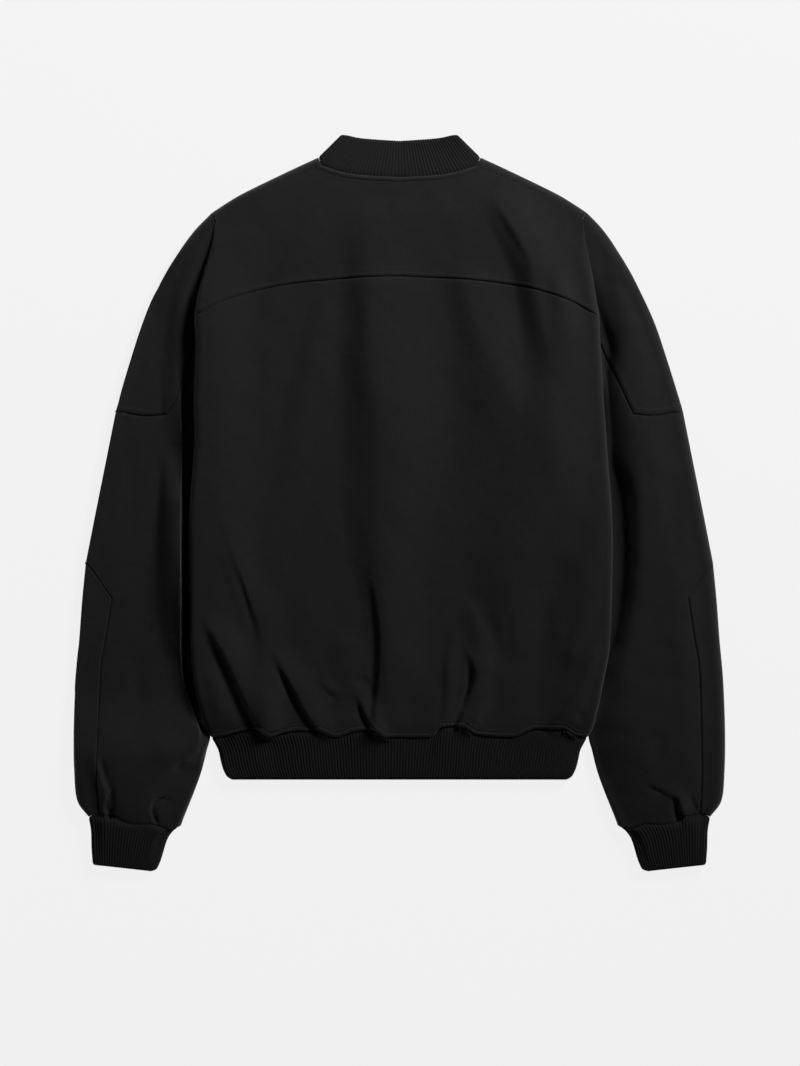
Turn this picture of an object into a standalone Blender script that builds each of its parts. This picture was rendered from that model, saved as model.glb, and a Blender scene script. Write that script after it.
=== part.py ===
# A bomber jacket laid flat on its front, back up and sleeves down beside it.
# X runs across the back, Y up the back to the collar, and Z up from the surface it lies on.
# Tables and sizes are in millimetres; the meshes are made in metres.

import math

import bmesh
import bpy
import mathutils
import numpy as np

MM = 0.001
UP = mathutils.Vector((0, 0, 1))
STRAIGHT = math.radians(150)    # a seam that bends more than this has a corner there
WELD = 0.02 * MM                # points this close are one
CREASE = math.radians(50)       # and cloth that bends more than this is shaded as an edge
LYING = 0.7                     # upward part of the normal where cloth lies flat
SIDES = {-1: "left", 1: "right"}    # the wearer's, by the sign of X

# Cloth and seams
CLOTH = 2.8             # wall of the body and sleeves
RIB = 3.0               # wall of the doubled rib knit
SEAM = 0.3              # gap between two sewn pieces
FOLD = 9.5              # how far in from its side the body's fold starts to turn
FOLD_FADE = 48.0        # length of the armhole below the shoulder where that fold runs out
SHOULDER_MID = 9.5      # height of the shoulder seam, half way round its fold
SLEEVE_FOLD = 11.0      # the same reach on the sleeve's outer edge
SLEEVE_MID = 10.5
UNDERARM_FOLD = 6.0     # and on its inner edge
RIB_FOLD = 6.0
TURN = 3                # facets round the upper half of a fold
UNDER_TURN = 2          # and round the lower half
UNDERARM = 40.0         # up the back, where the sleeve's two armhole seams meet
UNDER_CLIMB = 15.0      # length of the underside's seam that climbs to that point

# Ribs
HEM_FOOT = -304.7       # lower edge of the waistband
HEM_EDGE_TOP = 13.0     # height of the waistband's back at its lower edge
COLLAR_EDGE_TOP = 13.5  # height of the collar's back at its upper edge
CUFF_EDGE_TOP = 13.0
RIB_EDGE_MID = 6.5      # height of a folded rib's own edge there
CUFF_OUTER_MID = 8.5    # and of the cuff's outer edge where it meets the sleeve

# Zip, closed, under the fronts. The fronts ride up over it.
ZIP_LIFT = 4.2          # height of the fronts' edges off the surface
ZIP_EDGE = 5.5          # from the middle to each front's edge
ZIP_FLAT, ZIP_RAMP = 14.0, 40.0   # where that rise is whole, and where it starts
TAPE_INNER, TAPE_OUTER = 0.6, 15.0
TAPE_THICK = 0.8
TAPE_GAP = 0.5          # from the fronts' inner face up to the tape
TAPE_OPEN = 1.9         # the tapes' inner edges where the slider parts them
SLIDER_Y, SLIDER_LONG, SLIDER_WIDE = 281.0, 12.0, 8.6
PLATE = 1.2             # thickness of the slider's two plates
CHAIN_ROOM = 3.8        # between the plates, for the teeth
SLIDER_CORNER = 2.2
PLATE_GRIP = 0.5        # how far the slider's posts run into its plates
POST = (-1.1, 1.1)      # across the post between the plates
POST_LONG, POST_INSET = 2.8, 0.6
BRIDGE = (-1.2, 1.2)    # across the bridge, which holds the tab's bar
BRIDGE_INSET = 1.0      # from each end of the slider
BRIDGE_POST, BRIDGE_THICK = 1.6, 1.2
BRIDGE_ROOM = 1.9       # from the plate down to the bridge
TAB_LONG, TAB_WIDE, TAB_THICK = 30.0, 6.8, 1.2
TAB_CORNER = 1.6
TAB_WINDOW = (-1.9, 1.9)    # across the tab's opening round the bridge
TAB_REACH = 5.8         # and how far it runs from the middle of the tab's bar
TAB_BAR = 1.0           # the cross bar, seen from above


def table(names, *rows):
    """Columns by name, each running down the rows."""
    return dict(zip(names.split(), np.array(rows, float).T))


# Sections of the body up the back: half its width, the height of its middle, of its sides
# where the fold starts, and of the fold's own edge (from UNDERARM up, the armhole seam),
# and how far the sleeve below lifts its underside there.
BODY = table(
    "up half middle side edge lift",
    (-258, 207.0, 20.0, 14.0, 7.5, 1.0),
    (-248, 212.8, 24.0, 18.5, 11.0, 4.5),
    (-236, 215.7, 27.5, 24.0, 17.5, 11.8),
    (-214, 221.0, 30.5, 29.0, 21.0, 12.3),
    (-151, 231.7, 32.5, 32.0, 22.5, 12.3),
    (-41, 232.2, 34.0, 33.0, 22.5, 12.3),
    (-18, 231.8, 34.0, 33.0, 19.5, 11.5),
    (3, 231.0, 34.0, 33.0, 14.5, 7.0),
    (40, 228.2, 34.0, 33.0, 8.5, 0.0),
    (69, 226.3, 34.0, 33.0, 10.5, 0.0),
    (113, 224.0, 34.0, 33.0, 11.5, 0.0),
    (184, 220.6, 34.0, 32.0, 12.5, 0.0),
    (203, 222.3, 33.5, 31.0, 13.0, 0.0),
    (220, 220.0, 33.0, 30.0, 14.0, 0.0),
    (254, 212.7, 32.0, 27.5, 17.0, 0.0),
    (284, 205.0, 31.0, 24.0, 19.5, 0.0),
    (311, 200.6, 29.0, 19.5, 19.5, 0.0),
    (333, 184.0, 27.5, 18.5, 18.5, 0.0),
    (355, 141.0, 25.0, 18.0, 18.0, 0.0),
    (380, 90.0, 21.0, 17.0, 17.0, 0.0),
)

# Sections of a sleeve up to the underarm: its inner edge, where its top starts to climb from
# under the body, its heights there and at its crown, and the height of its inner edge.
SLEEVE = table(
    "up inner shelf low crown edge",
    (-358, 241.0, 252.0, 14.0, 17.5, 7.0),
    (-349, 238.0, 250.0, 15.0, 19.5, 7.5),
    (-338, 233.6, 247.0, 16.0, 22.0, 8.0),
    (-316, 224.8, 240.0, 17.0, 25.0, 8.5),
    (-294, 217.1, 232.0, 16.5, 27.0, 8.5),
    (-272, 211.6, 224.0, 15.5, 28.0, 8.0),
    (-257, 209.4, 220.0, 14.0, 28.0, 7.0),
    (-240, 216.2, 224.0, 12.0, 28.0, 6.0),
    (-232, 217.6, 225.0, 11.5, 28.0, 5.5),
    (-222, 213.0, 225.0, 11.0, 28.0, 5.5),
    (-200, 203.0, 227.0, 11.0, 28.0, 5.5),
    (-150, 197.0, 233.5, 11.0, 28.5, 5.5),
    (-80, 202.0, 234.5, 11.0, 29.0, 5.5),
    (-50, 213.0, 234.5, 11.0, 29.0, 5.5),
    (-30, 224.5, 235.0, 11.0, 29.0, 6.0),
    (-12, 231.9, 236.0, 10.5, 29.0, 6.5),
    (3, 232.6, 236.0, 10.0, 29.0, 7.0),
    (20, 230.8, 235.0, 9.0, 29.0, 7.5),
    (40, 228.5, 232.0, 8.5, 29.0, 8.5),
)
SHELF = 3.5             # from the armhole seam to where the sleeve's top starts to climb
SHOULDER_CROWN = 19.5   # height of the sleeve's crown at the top of the shoulder
RISE = 38.0             # how far out from its shelf the sleeve climbs to its crown
CROWN_FALL = 4.0        # how much it drops again towards its outer edge
CROWN_REACH = 34.0
CROWN_FROM = 60.0       # up the arm, where the crown starts to sink towards the shoulder
LIFT_RAMP = (160, 192)  # across the fronts, where they climb onto the sleeves' inner edges

RIDGE = 0.45            # how strongly the cloth rises beside a trough
FOLD_END = 0.4          # share of its depth that a trough loses at its far end
BARREL = 2.4            # how flat the body lies before it falls to its sides

# Troughs of the back: two straight runs, their half width and depth.
BACK_FOLDS = table(
    "x0 y0 x1 y1 x2 y2 half deep",
    (-217, -130, -183, -198, -151, -252, 9.0, 9.0),
    (-196, -25, -175, -92, -157, -144, 7.0, 3.0),
    (-136, -173, -120, -201, -96, -246, 6.0, 7.0),
    (-61, 240, -56, 100, -52, -25, 13.0, 4.0),
    (-52, -25, -30, -114, -21, -225, 9.0, 8.0),
    (-46, -214, -40, -228, -34, -244, 5.0, 5.0),
    (74, -172, 83, -187, 64, -246, 6.0, 7.0),
    (211, -151, 186, -210, 164, -248, 10.0, 8.0),
    (102, 150, 101, 70, 104, -20, 14.0, 3.5),
    (147, 236, 160, 180, 165, 100, 14.0, 4.0),
    (95, 326, 122, 289, 148, 238, 11.0, 4.0),
    (-95, 321, -114, 284, -126, 262, 8.0, 2.5),
)

# The same on each sleeve, measured out from the middle of the back.
SLEEVE_FOLDS = {
    -1: table(
        "x0 y0 x1 y1 x2 y2 half deep",
        (267, 50, 254, 0, 254, -90, 8.0, 6.0),
        (254, -90, 246, -112, 224, -226, 8.0, 4.0),
        (330, -270, 322, -300, 316, -340, 6.0, 4.0),
    ),
    1: table(
        "x0 y0 x1 y1 x2 y2 half deep",
        (250, 210, 262, 150, 258, 100, 10.0, 4.0),
        (250, -285, 275, -318, 306, -344, 8.0, 4.0),
    ),
}

# Where the back meets the waistband: it rides up at each gather.
GATHERS = table(
    "across up",
    (-207, -258), (-197, -258), (-176, -253), (-160, -249), (-142, -257), (-110, -251),
    (-90, -251),
    (-70, -258), (-45, -251), (-28, -250), (-14, -258), (34, -258), (47, -247),
    (66, -246), (86, -256), (125, -258), (150, -249), (178, -249), (190, -256), (197, -258),
    (207, -258),
)

# Seams and edges seen from above, on the wearer's right; the left mirrors them. Each line
# named IN is where the fold starts to turn towards the edge that it runs beside.
ARM_START = 311.0       # up the back, where the armhole seam crosses onto the shoulder's fold
ARM_UPS = [ARM_START, 291, 270, 248, 225, 203, 173, 130, 85, UNDERARM]
SIDE_UPS = [UNDERARM, 20, 3, -18, -41, -90, -140, -180, -208, -225, -238, -248, -258]
ELBOW_ROWS = 5          # rows down the arm's outer edge from there to the forearm panel
FOREARM_ROWS = 10       # rows beside the forearm's seam
NECK_COLUMNS = 7        # columns from the middle to the neck point
SHOULDER_COLUMNS = 5    # and from there to the armhole
HALF_COLUMNS = NECK_COLUMNS + SHOULDER_COLUMNS
YOKE_ROWS = 6           # rows of ARM_UPS beside the yoke
UPPER_ROWS = 7          # and beside the upper sleeve
NECK = [(0, 356.4), (43, 359), (65, 363), (84.5, 369.5)]
SHOULDER = [(89.5, 379), (117.7, 366), (163.4, 344), (183.7, 333), (206, 318.5)]
SHOULDER_IN = [NECK[-1], (113.5, 357.4), (159.3, 335.4), (179.4, 324.5), (200.6, ARM_START)]
YOKE = [(0, 246.6), (67, 243.6), (132, 236), (186, 220.8), (213, 207)]
YOKE_END = (222.3, 203)
FRONT_NECK = [(ZIP_EDGE, 289), (ZIP_FLAT, 289.8), (ZIP_RAMP, 297), (60, 312), (76, 338), NECK[-1]]
COLLAR_TOP = [(0, 397.5), (40, 400.3), (57.5, 403.6)]
COLLAR_SIDE = [(89.5, 379), (76.5, 392), (63.5, 405.1)]
FRONT_COLLAR_TOP = [(ZIP_EDGE, 331), (ZIP_FLAT, 332.5), (31, 341), (42, 358), (50, 380),
                    COLLAR_TOP[-1]]
UPPER_CORNER = (255.6, 96.5)
UPPER_SEAM = [UPPER_CORNER, (278.2, 94.5), (300.8, 98)]
ARM_TOP = [(206.3, 318.3), (223.9, 299.8), (239.8, 277.8), (259.6, 244.8), (279.4, 200.8),
           (294.3, 156.8), (308, 112.8), (311.8, 99.5)]
ARM_TOP_IN = [(200.9, 310.8), (216.2, 291.5), (230.6, 271), (249.8, 239.6), (269.2, 196.6),
              (283.9, 153.6), (297.3, 110), UPPER_SEAM[-1]]
ARM_MIDDLE = [(311.9, 99.2), (317.9, 68.8), (326.7, 24.8), (335.5, -19.3), (344.5, -65)]
ARM_MIDDLE_IN = [(300.8, 97.7), (307.2, 66), (316, 22), (324.6, -21.8), (333.8, -78)]
ARM_LOWER = [(344.6, -65.4), (348.7, -107.3), (352, -151.3), (355.9, -195.3), (358, -250),
             (357.5, -294.3), (354.4, -327.3), (342, -345.5)]
ARM_LOWER_IN = [(334, -78.3), (337.7, -110), (341, -152), (344.9, -196), (347, -250),
                (346.6, -294), (344.5, -325), (336.5, -343)]
POINT = [(334, -78.3), (315.5, -104.5)]      # the forearm panel's upper seam
FOREARM = [POINT[-1], (322.1, -145.8), (328.1, -184.3), (330.4, -255.8), (331.1, -304.2),
           (329.6, -341.5)]
CUFF_SEAM = [(248.5, -357.3), (256, -357.5), (270, -352.5), (286, -353), (300, -351),
             (313, -344), FOREARM[-1], (336.5, -343)]
CUFF_INNER = [(242.5, -356.8), (249, -361.5), (255.6, -371.5), (262.2, -393), (267.5, -404.9)]
CUFF_OUTER = [(342, -345.8), (339.4, -360), (338.8, -380), (337.5, -398.5)]
HEM_SIDE = [(207, -258), (199.5, -272), (197, -283), (194, -294), (189, -303.5)]


def smooth(value, low, high):
    """0 up to low, 1 from high, and an S curve between them."""
    part = np.clip((np.asarray(value, float) - low) / (high - low), 0, 1)
    return part * part * (3 - 2 * part)


def read(rows, key, at):
    """A column at any place along the table's first column, smooth and with no overshoot."""
    places, values = next(iter(rows.values())), rows[key]
    steps = np.diff(places)
    slopes = np.diff(values) / steps
    before, after = slopes[:-1], slopes[1:]
    agree = before * after > 0
    total = np.where(agree, before + after, 1)
    inner = np.where(agree, 2 * before * after / total, 0)
    tangents = np.concatenate([slopes[:1], inner, slopes[-1:]])
    at = np.clip(np.asarray(at, float), places[0], places[-1])
    row = np.clip(np.searchsorted(places, at) - 1, 0, len(steps) - 1)
    part = (at - places[row]) / steps[row]
    s_curve = part * part * (3 - 2 * part)
    leave = part * (1 - part) ** 2 * tangents[row]
    arrive = part * part * (1 - part) * tangents[row + 1]
    return values[row] + s_curve * (values[row + 1] - values[row]) + steps[row] * (leave - arrive)


def troughs(x, y, folds):
    """How far the folds lower the cloth: a trough with a low ridge on each side."""
    total = np.zeros(np.shape(x))
    for x0, y0, x1, y1, x2, y2, half, deep in zip(*folds.values()):
        ends = np.array([(x0, y0), (x1, y1), (x2, y2)])
        lengths = np.linalg.norm(np.diff(ends, axis=0), axis=1)
        nearest, along = np.full(np.shape(x), 1e9), np.zeros(np.shape(x))
        for run_index in range(2):
            start, way = ends[run_index], ends[run_index + 1] - ends[run_index]
            part = ((x - start[0]) * way[0] + (y - start[1]) * way[1]) / lengths[run_index] ** 2
            part = np.clip(part, 0, 1)
            away = np.hypot(x - start[0] - part * way[0], y - start[1] - part * way[1])
            place = (lengths[:run_index].sum() + part * lengths[run_index]) / lengths.sum()
            along = np.where(away < nearest, place, along)
            nearest = np.minimum(nearest, away)
        across = (nearest / half) ** 2
        taper = smooth(along, -0.05, 0.3) * (1 - FOLD_END * smooth(along, 0.8, 1.0))
        total += deep * taper * (1 - RIDGE * across) * np.exp(-across)
    return total


def zip_rise(x):
    return ZIP_LIFT * (1 - smooth(np.abs(x), ZIP_FLAT, ZIP_RAMP))


def back_height(x, y):
    """Top of the back at any place on it, short of its folded edges."""
    half = read(BODY, "half", y)
    middle, side = read(BODY, "middle", y), read(BODY, "side", y)
    out = np.clip(np.abs(x) / (half - FOLD), 0, 1)
    return side + (middle - side) * (1 - out ** BARREL) - troughs(x, y, BACK_FOLDS)


def front_height(x, y):
    """Underside of the fronts: flat, up over the zip, and up over the sleeves' inner edges."""
    over_sleeve = read(BODY, "lift", y) * smooth(np.abs(x), *LIFT_RAMP)
    return np.maximum(zip_rise(x), over_sleeve)


def arm_edge(y):
    """Half width of the arm's silhouette, from the shoulder down."""
    line = np.array(ARM_TOP + ARM_MIDDLE + ARM_LOWER)[::-1]
    return np.interp(y, line[:, 1], line[:, 0])


def below_underarm(y, lower, upper):
    return np.where(y < UNDERARM, lower, upper)


def sleeve_height(x, y, side):
    """Top of a sleeve at any place on it, short of its folded edges."""
    out = np.abs(x)
    low = below_underarm(y, read(SLEEVE, "low", y), read(BODY, "edge", y))
    shelf = below_underarm(y, read(SLEEVE, "shelf", y), read(BODY, "half", y) + SHELF)
    top = read(SLEEVE, "crown", y)
    crown = top - (top - SHOULDER_CROWN) * smooth(y, CROWN_FROM, ARM_START)
    from_edge = arm_edge(y) - SLEEVE_FOLD - out
    fall = np.minimum(CROWN_FALL, crown - low) * (1 - smooth(from_edge, 0, CROWN_REACH))
    climb = smooth(out, shelf, shelf + RISE)
    return low + (crown - low - fall) * climb - troughs(out, y, SLEEVE_FOLDS[side])


def flat_under(x, y):
    return np.zeros(np.shape(x))


def run(points, count):
    """count + 1 points, evenly spaced along a smooth curve through the given ones."""
    points = np.array(points, float)
    fine = [points[0]]
    ways = np.gradient(points, axis=0) if len(points) > 2 else None
    for i in range(len(points) - 1):
        start, end = points[i], points[i + 1]
        for part in np.linspace(0, 1, 13)[1:]:
            spot = start + part * (end - start)
            if ways is not None:
                pull = part * (1 - part)
                spot = start + (end - start) * part * part * (3 - 2 * part)
                spot = spot + pull * (1 - part) * ways[i] - pull * part * ways[i + 1]
            fine.append(spot)
    fine = np.array(fine)
    lengths = np.append(0, np.cumsum(np.linalg.norm(np.diff(fine, axis=0), axis=1)))
    places = np.linspace(0, lengths[-1], count + 1)
    return np.column_stack([np.interp(places, lengths, column) for column in fine.T])


def join(*runs):
    """One path from several, each starting where the last one ends."""
    return np.vstack([runs[0]] + [path[1:] for path in runs[1:]])


def shift(path, distance):
    """The path moved sideways: to its left for a positive distance."""
    way = np.gradient(path, axis=0)
    way /= np.linalg.norm(way, axis=1, keepdims=True)
    return path + distance * np.column_stack([-way[:, 1], way[:, 0]])


def fill(top, bottom, left, right):
    """A grid of places between four paths: rows from top to bottom, columns left to right."""
    across = np.linspace(0, 1, len(top))[None, :, None]
    down = np.linspace(0, 1, len(left))[:, None, None]
    sides = (1 - across) * left[:, None] + across * right[:, None]
    ends = (1 - down) * top[None] + down * bottom[None]
    corners = (1 - down) * ((1 - across) * top[0] + across * top[-1])
    corners = corners + down * ((1 - across) * bottom[0] + across * bottom[-1])
    return sides + ends - corners


def raised(plan, height, *more):
    """The grid lifted to a height that depends on the place."""
    return np.dstack([plan, height(plan[..., 0], plan[..., 1], *more)])


def turn(inset, edge, steps):
    """The grid that rounds off a fold, from its inset line to its edge line."""
    columns = []
    for step in range(steps + 1):
        angle = math.pi / 2 * step / steps
        flat = inset[:, :2] + (edge[:, :2] - inset[:, :2]) * math.sin(angle)
        rise = edge[:, 2] + (inset[:, 2] - edge[:, 2]) * math.cos(angle)
        columns.append(np.column_stack([flat, rise]))
    return np.stack(columns, axis=1)


def at_height(path, height):
    return np.column_stack([path, np.broadcast_to(height, len(path))])


def mirrored(grid):
    return grid * np.array([-1, 1, 1])[: grid.shape[-1]]


def material(name, color, roughness, metallic=0.0):
    made = bpy.data.materials.new(name)
    made.use_nodes = True
    shader = made.node_tree.nodes["Principled BSDF"]
    shader.inputs["Base Color"].default_value = (*color, 1)
    shader.inputs["Roughness"].default_value = roughness
    shader.inputs["Metallic"].default_value = metallic
    return made


def placed(name, shape, finish):
    """An object of its own, made from the shape."""
    mesh = bpy.data.meshes.new(name)
    shape.to_mesh(mesh)
    shape.free()
    mesh.materials.append(finish)
    piece = bpy.data.objects.new(name, mesh)
    bpy.context.collection.objects.link(piece)
    return piece


def add_grid(shape, grid, facing, folded):
    """Faces over one grid, turned to the upper side of the jacket (facing 1) or the lower. A
    folded grid's last column is marked: it may be a seam along the fold."""
    spots = [[shape.verts.new(spot * MM) for spot in row] for row in grid]
    along_fold = shape.verts.layers.int["along_fold"]
    for row in spots:
        row[-1][along_fold] = folded
    along = grid[0, -1] - grid[0, 0] + grid[-1, -1] - grid[-1, 0]
    down = grid[-1, 0] - grid[0, 0] + grid[-1, -1] - grid[0, -1]
    turned = (along[1] * down[0] - along[0] * down[1]) * facing < 0
    for upper, lower in zip(spots, spots[1:]):
        for j in range(len(upper) - 1):
            corners = [upper[j], lower[j], lower[j + 1], upper[j + 1]]
            shape.faces.new(corners[::-1] if turned else corners)


def inner_point(vert, wall, along_fold):
    """The point across the wall. At a seam the wall's edge is upright where the cloth lies flat
    and level where it stands, so that two sewn pieces meet square."""
    way = vert.normal.copy()
    others = [edge.other_vert(vert) for edge in vert.link_edges if edge.is_boundary]
    lines = [(other.co - vert.co, vert[along_fold] and other[along_fold]) for other in others]
    if len(lines) == 2 and lines[0][0].angle(lines[1][0]) > STRAIGHT:
        lines = [(lines[1][0] - lines[0][0], lines[0][1] and lines[1][1])]
    if lines and abs(way.z) > LYING:
        way = UP * math.copysign(1, way.z)
        lines = []
    for line, folded in lines:
        level = line.cross(UP).normalized()
        if folded and len(lines) == 1:
            way = level * math.copysign(1, level.dot(way))
        else:
            square = UP if folded else level
            way -= way.dot(square) * square
    way.normalize()
    reach = wall * vert.calc_shell_factor() / max(way.dot(vert.normal), 0.6)
    return vert.co - way * reach


def add_wall(shape, wall):
    """The inner face behind the outer one, and the rims that join them."""
    shape.normal_update()
    outer = list(shape.faces)
    rims = [edge.link_loops[0] for edge in shape.edges if edge.is_boundary]
    ends = [(loop.vert, loop.link_loop_next.vert) for loop in rims]
    along_fold = shape.verts.layers.int["along_fold"]
    spots = [(vert, inner_point(vert, wall, along_fold)) for vert in shape.verts]
    inner = {vert: shape.verts.new(spot) for vert, spot in spots}
    for face in outer:
        shape.faces.new([inner[vert] for vert in reversed(face.verts)])
    for start, end in ends:
        shape.faces.new([end, start, inner[start], inner[end]])


def cloth(name, uppers, unders, finish, wall=CLOTH):
    """One piece of cloth: the grids of its outer face, sewn where they meet, and its wall. On
    either side of it the first grid lies, and the others turn round its folds."""
    shape = bmesh.new()
    shape.verts.layers.int.new("along_fold")
    for facing, grids in ((1, uppers), (-1, unders)):
        for i, grid in enumerate(grids):
            add_grid(shape, grid, facing, i > 0)
    bmesh.ops.remove_doubles(shape, verts=shape.verts, dist=WELD)
    bmesh.ops.dissolve_degenerate(shape, edges=shape.edges, dist=WELD)
    add_wall(shape, wall * MM)
    piece = placed(name, shape, finish)
    piece.data.shade_smooth()
    piece.data.set_sharp_from_angle(angle=CREASE)


def sew(name, uppers, unders, side, finish, wall=CLOTH):
    """The same for one side: the grids are given for the wearer's right."""
    if side < 0:
        uppers, unders = [mirrored(grid) for grid in uppers], [mirrored(grid) for grid in unders]
    cloth(name + SIDES[side], uppers, unders, finish, wall)


def side_lines(ups):
    """The body's inset and edge lines on the right at these heights up the back."""
    half = read(BODY, "half", ups)
    reach = FOLD * (1 - smooth(ups, ARM_START - FOLD_FADE, ARM_START))
    return np.column_stack([half - reach, ups]), np.column_stack([half, ups])


def make_yoke(finish):
    """From the shoulders and neck down to the yoke seam."""
    shoulder_in, neck = run(SHOULDER_IN, SHOULDER_COLUMNS), run(NECK, NECK_COLUMNS)
    top = join(mirrored(shoulder_in[::-1]), mirrored(neck[::-1]), neck, shoulder_in)
    seam = run(YOKE, HALF_COLUMNS) + (0, SEAM / 2)
    inset, edge = side_lines(np.array(ARM_UPS[:YOKE_ROWS], float))
    inset[0], inset[-1] = top[-1], seam[-1]
    edge[0], edge[-1] = inset[0], (YOKE_END[0], YOKE_END[1] + SEAM / 2)
    plan = fill(top, join(mirrored(seam[::-1]), seam), mirrored(inset), inset)
    main = raised(plan, back_height)
    arm = at_height(edge, read(BODY, "edge", edge[:, 1]) + SEAM / 2)
    arm[0] = main[0, -1]
    over = at_height(run(SHOULDER, SHOULDER_COLUMNS), SHOULDER_MID + SEAM / 2)
    uppers = [
        main,
        turn(main[:, -1], arm, TURN),
        turn(main[:, 0], mirrored(arm), TURN),
        turn(main[0, -len(over):], over, TURN),
        turn(main[0, SHOULDER_COLUMNS::-1], mirrored(over), TURN),
    ]
    cloth("back_yoke", uppers, [], finish)


def hem_line():
    """Places across the back's lower edge, from side to side, short of its folds."""
    across = np.linspace(-1, 1, 2 * HALF_COLUMNS + 1) * (BODY["half"][0] - FOLD)
    return np.column_stack([across, read(GATHERS, "up", across)])


def make_back(finish):
    """From the yoke seam down to the gathers at the waistband."""
    seam = run(YOKE, HALF_COLUMNS) - (0, SEAM / 2)
    bottom = hem_line() + (0, SEAM / 2)
    inset, edge = side_lines(np.array(ARM_UPS[YOKE_ROWS - 1:] + SIDE_UPS[1:], float))
    inset[0], inset[-1] = seam[-1], bottom[-1]
    edge[0] -= (0, SEAM / 2)
    edge[-1] += (0, SEAM / 2)
    plan = fill(join(mirrored(seam[::-1]), seam), bottom, mirrored(inset), inset)
    main = raised(plan, back_height)
    rim = at_height(edge, read(BODY, "edge", edge[:, 1]) + SEAM / 2)
    folds = [turn(main[:, -1], rim, TURN), turn(main[:, 0], mirrored(rim), TURN)]
    cloth("back_body", [main] + folds, [], finish)


def under_rise(ups):
    """How high the underside's edge is at the side: it meets the back's below the underarm."""
    return read(BODY, "edge", ups) * (1 - smooth(ups, UNDERARM, UNDERARM + UNDER_CLIMB))


def make_front(side, finish):
    """A front, face down: from the zip to the side seam, armhole and shoulder."""
    top = join(np.array(FRONT_NECK), run(SHOULDER_IN, SHOULDER_COLUMNS))
    foot = SIDE_UPS[-1] + SEAM / 2
    ends = np.array([ZIP_EDGE, ZIP_FLAT, ZIP_RAMP, 80, 120, 155, 168, 178, 185, 191, 197.5])
    bottom = np.column_stack([ends, np.full(len(ends), foot)])
    inset, edge = side_lines(np.array(ARM_UPS + SIDE_UPS[1:], float))
    inset[0], inset[-1], edge[-1, 1] = top[-1], bottom[-1], foot
    middle = np.linspace(top[0, 1], foot, len(inset))
    centre = np.column_stack([np.full(len(middle), ZIP_EDGE), middle])
    main = raised(fill(top, bottom, centre, inset), front_height)
    rim = at_height(edge, np.maximum(under_rise(edge[:, 1]) - SEAM / 2, 0))
    rim[0] = main[0, -1]
    over = at_height(run(SHOULDER, SHOULDER_COLUMNS), SHOULDER_MID - SEAM / 2)
    folds = [turn(main[:, -1], rim, UNDER_TURN), turn(main[0, -len(over):], over, UNDER_TURN)]
    sew("front_", [], [main] + folds, side, finish)


def armhole(ups):
    """The sleeve's side of the armhole seam, from above."""
    return shift(np.column_stack([read(BODY, "half", ups), ups]), SEAM)


def make_upper_sleeve(side, finish):
    """Round the top of the arm: columns from the armhole out, rows down from the shoulder."""
    outer_in = run(ARM_TOP_IN, UPPER_ROWS + 3)
    edge = at_height(run(ARM_TOP, UPPER_ROWS + 3), SLEEVE_MID)
    edge[0, 2] = SHOULDER_MID
    arm = armhole(np.array(ARM_UPS[:UPPER_ROWS], float))
    inner = join(arm, run([arm[-1], UPPER_CORNER], 4))
    inner[0] = outer_in[0]
    faces = []
    for steps, turns in ((4, TURN), (2, UNDER_TURN)):
        top = np.repeat(outer_in[:1], steps + 1, axis=0)
        plan = fill(top, run(UPPER_SEAM, steps), inner, outer_in)
        main = raised(plan, flat_under) if faces else raised(plan, sleeve_height, side)
        faces.append([main, turn(main[:, -1], edge, turns)])
    sew("sleeve_upper_", *faces, side, finish)


def make_lower_sleeve(side, finish):
    """From the upper sleeve and armhole to the cuff, slit for the forearm panel."""
    arm = armhole(np.array(ARM_UPS[UPPER_ROWS - 1:], float))
    arm[0, 1] -= SEAM
    down = [18, -5, -30, -60, -105, -160, -205, -228, -245, -257, -288, -322]
    fold = np.column_stack([read(SLEEVE, "inner", down), down])
    inner = np.vstack([arm, fold, CUFF_INNER[:1] + np.array([(0, SEAM)])])
    inset = inner + (UNDERARM_FOLD, 0)
    inset[0], inset[-1] = run([arm[0], UPPER_CORNER], 12)[2], CUFF_SEAM[0]
    outer = join(run(ARM_MIDDLE_IN, ELBOW_ROWS), run([ARM_MIDDLE_IN[-1], POINT[-1]], 1),
                 run(FOREARM, FOREARM_ROWS))
    outer[ELBOW_ROWS + 1:, 0] -= SEAM
    outer[ELBOW_ROWS:ELBOW_ROWS + 2] -= (SEAM * 0.7, -SEAM * 0.3)
    middle = at_height(run(ARM_MIDDLE, ELBOW_ROWS), SLEEVE_MID)
    ups = inner[:, 1]
    top_edge = below_underarm(ups, read(SLEEVE, "edge", ups), read(BODY, "edge", ups))
    low_edge = below_underarm(ups, read(SLEEVE, "edge", ups), under_rise(ups))
    faces = []
    for slant, level, turns, heights in ((3, 4, TURN, top_edge), (2, 2, UNDER_TURN, low_edge)):
        slope = run([inset[0], UPPER_CORNER], slant)
        top = shift(join(slope, run(UPPER_SEAM, level)), -SEAM)
        bottom = run(CUFF_SEAM[:-1], slant + level)
        left = inset.copy()
        left[0], bottom[-1], top[-1] = top[0], outer[-1], outer[0]
        plan = fill(top, bottom, left, outer)
        main = raised(plan, flat_under) if faces else raised(plan, sleeve_height, side)
        faces.append([
            main,
            turn(main[:, 0], at_height(inner, heights), UNDER_TURN),
            turn(main[:ELBOW_ROWS + 1, -1], middle, turns),
        ])
    sew("sleeve_lower_", *faces, side, finish)


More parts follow.
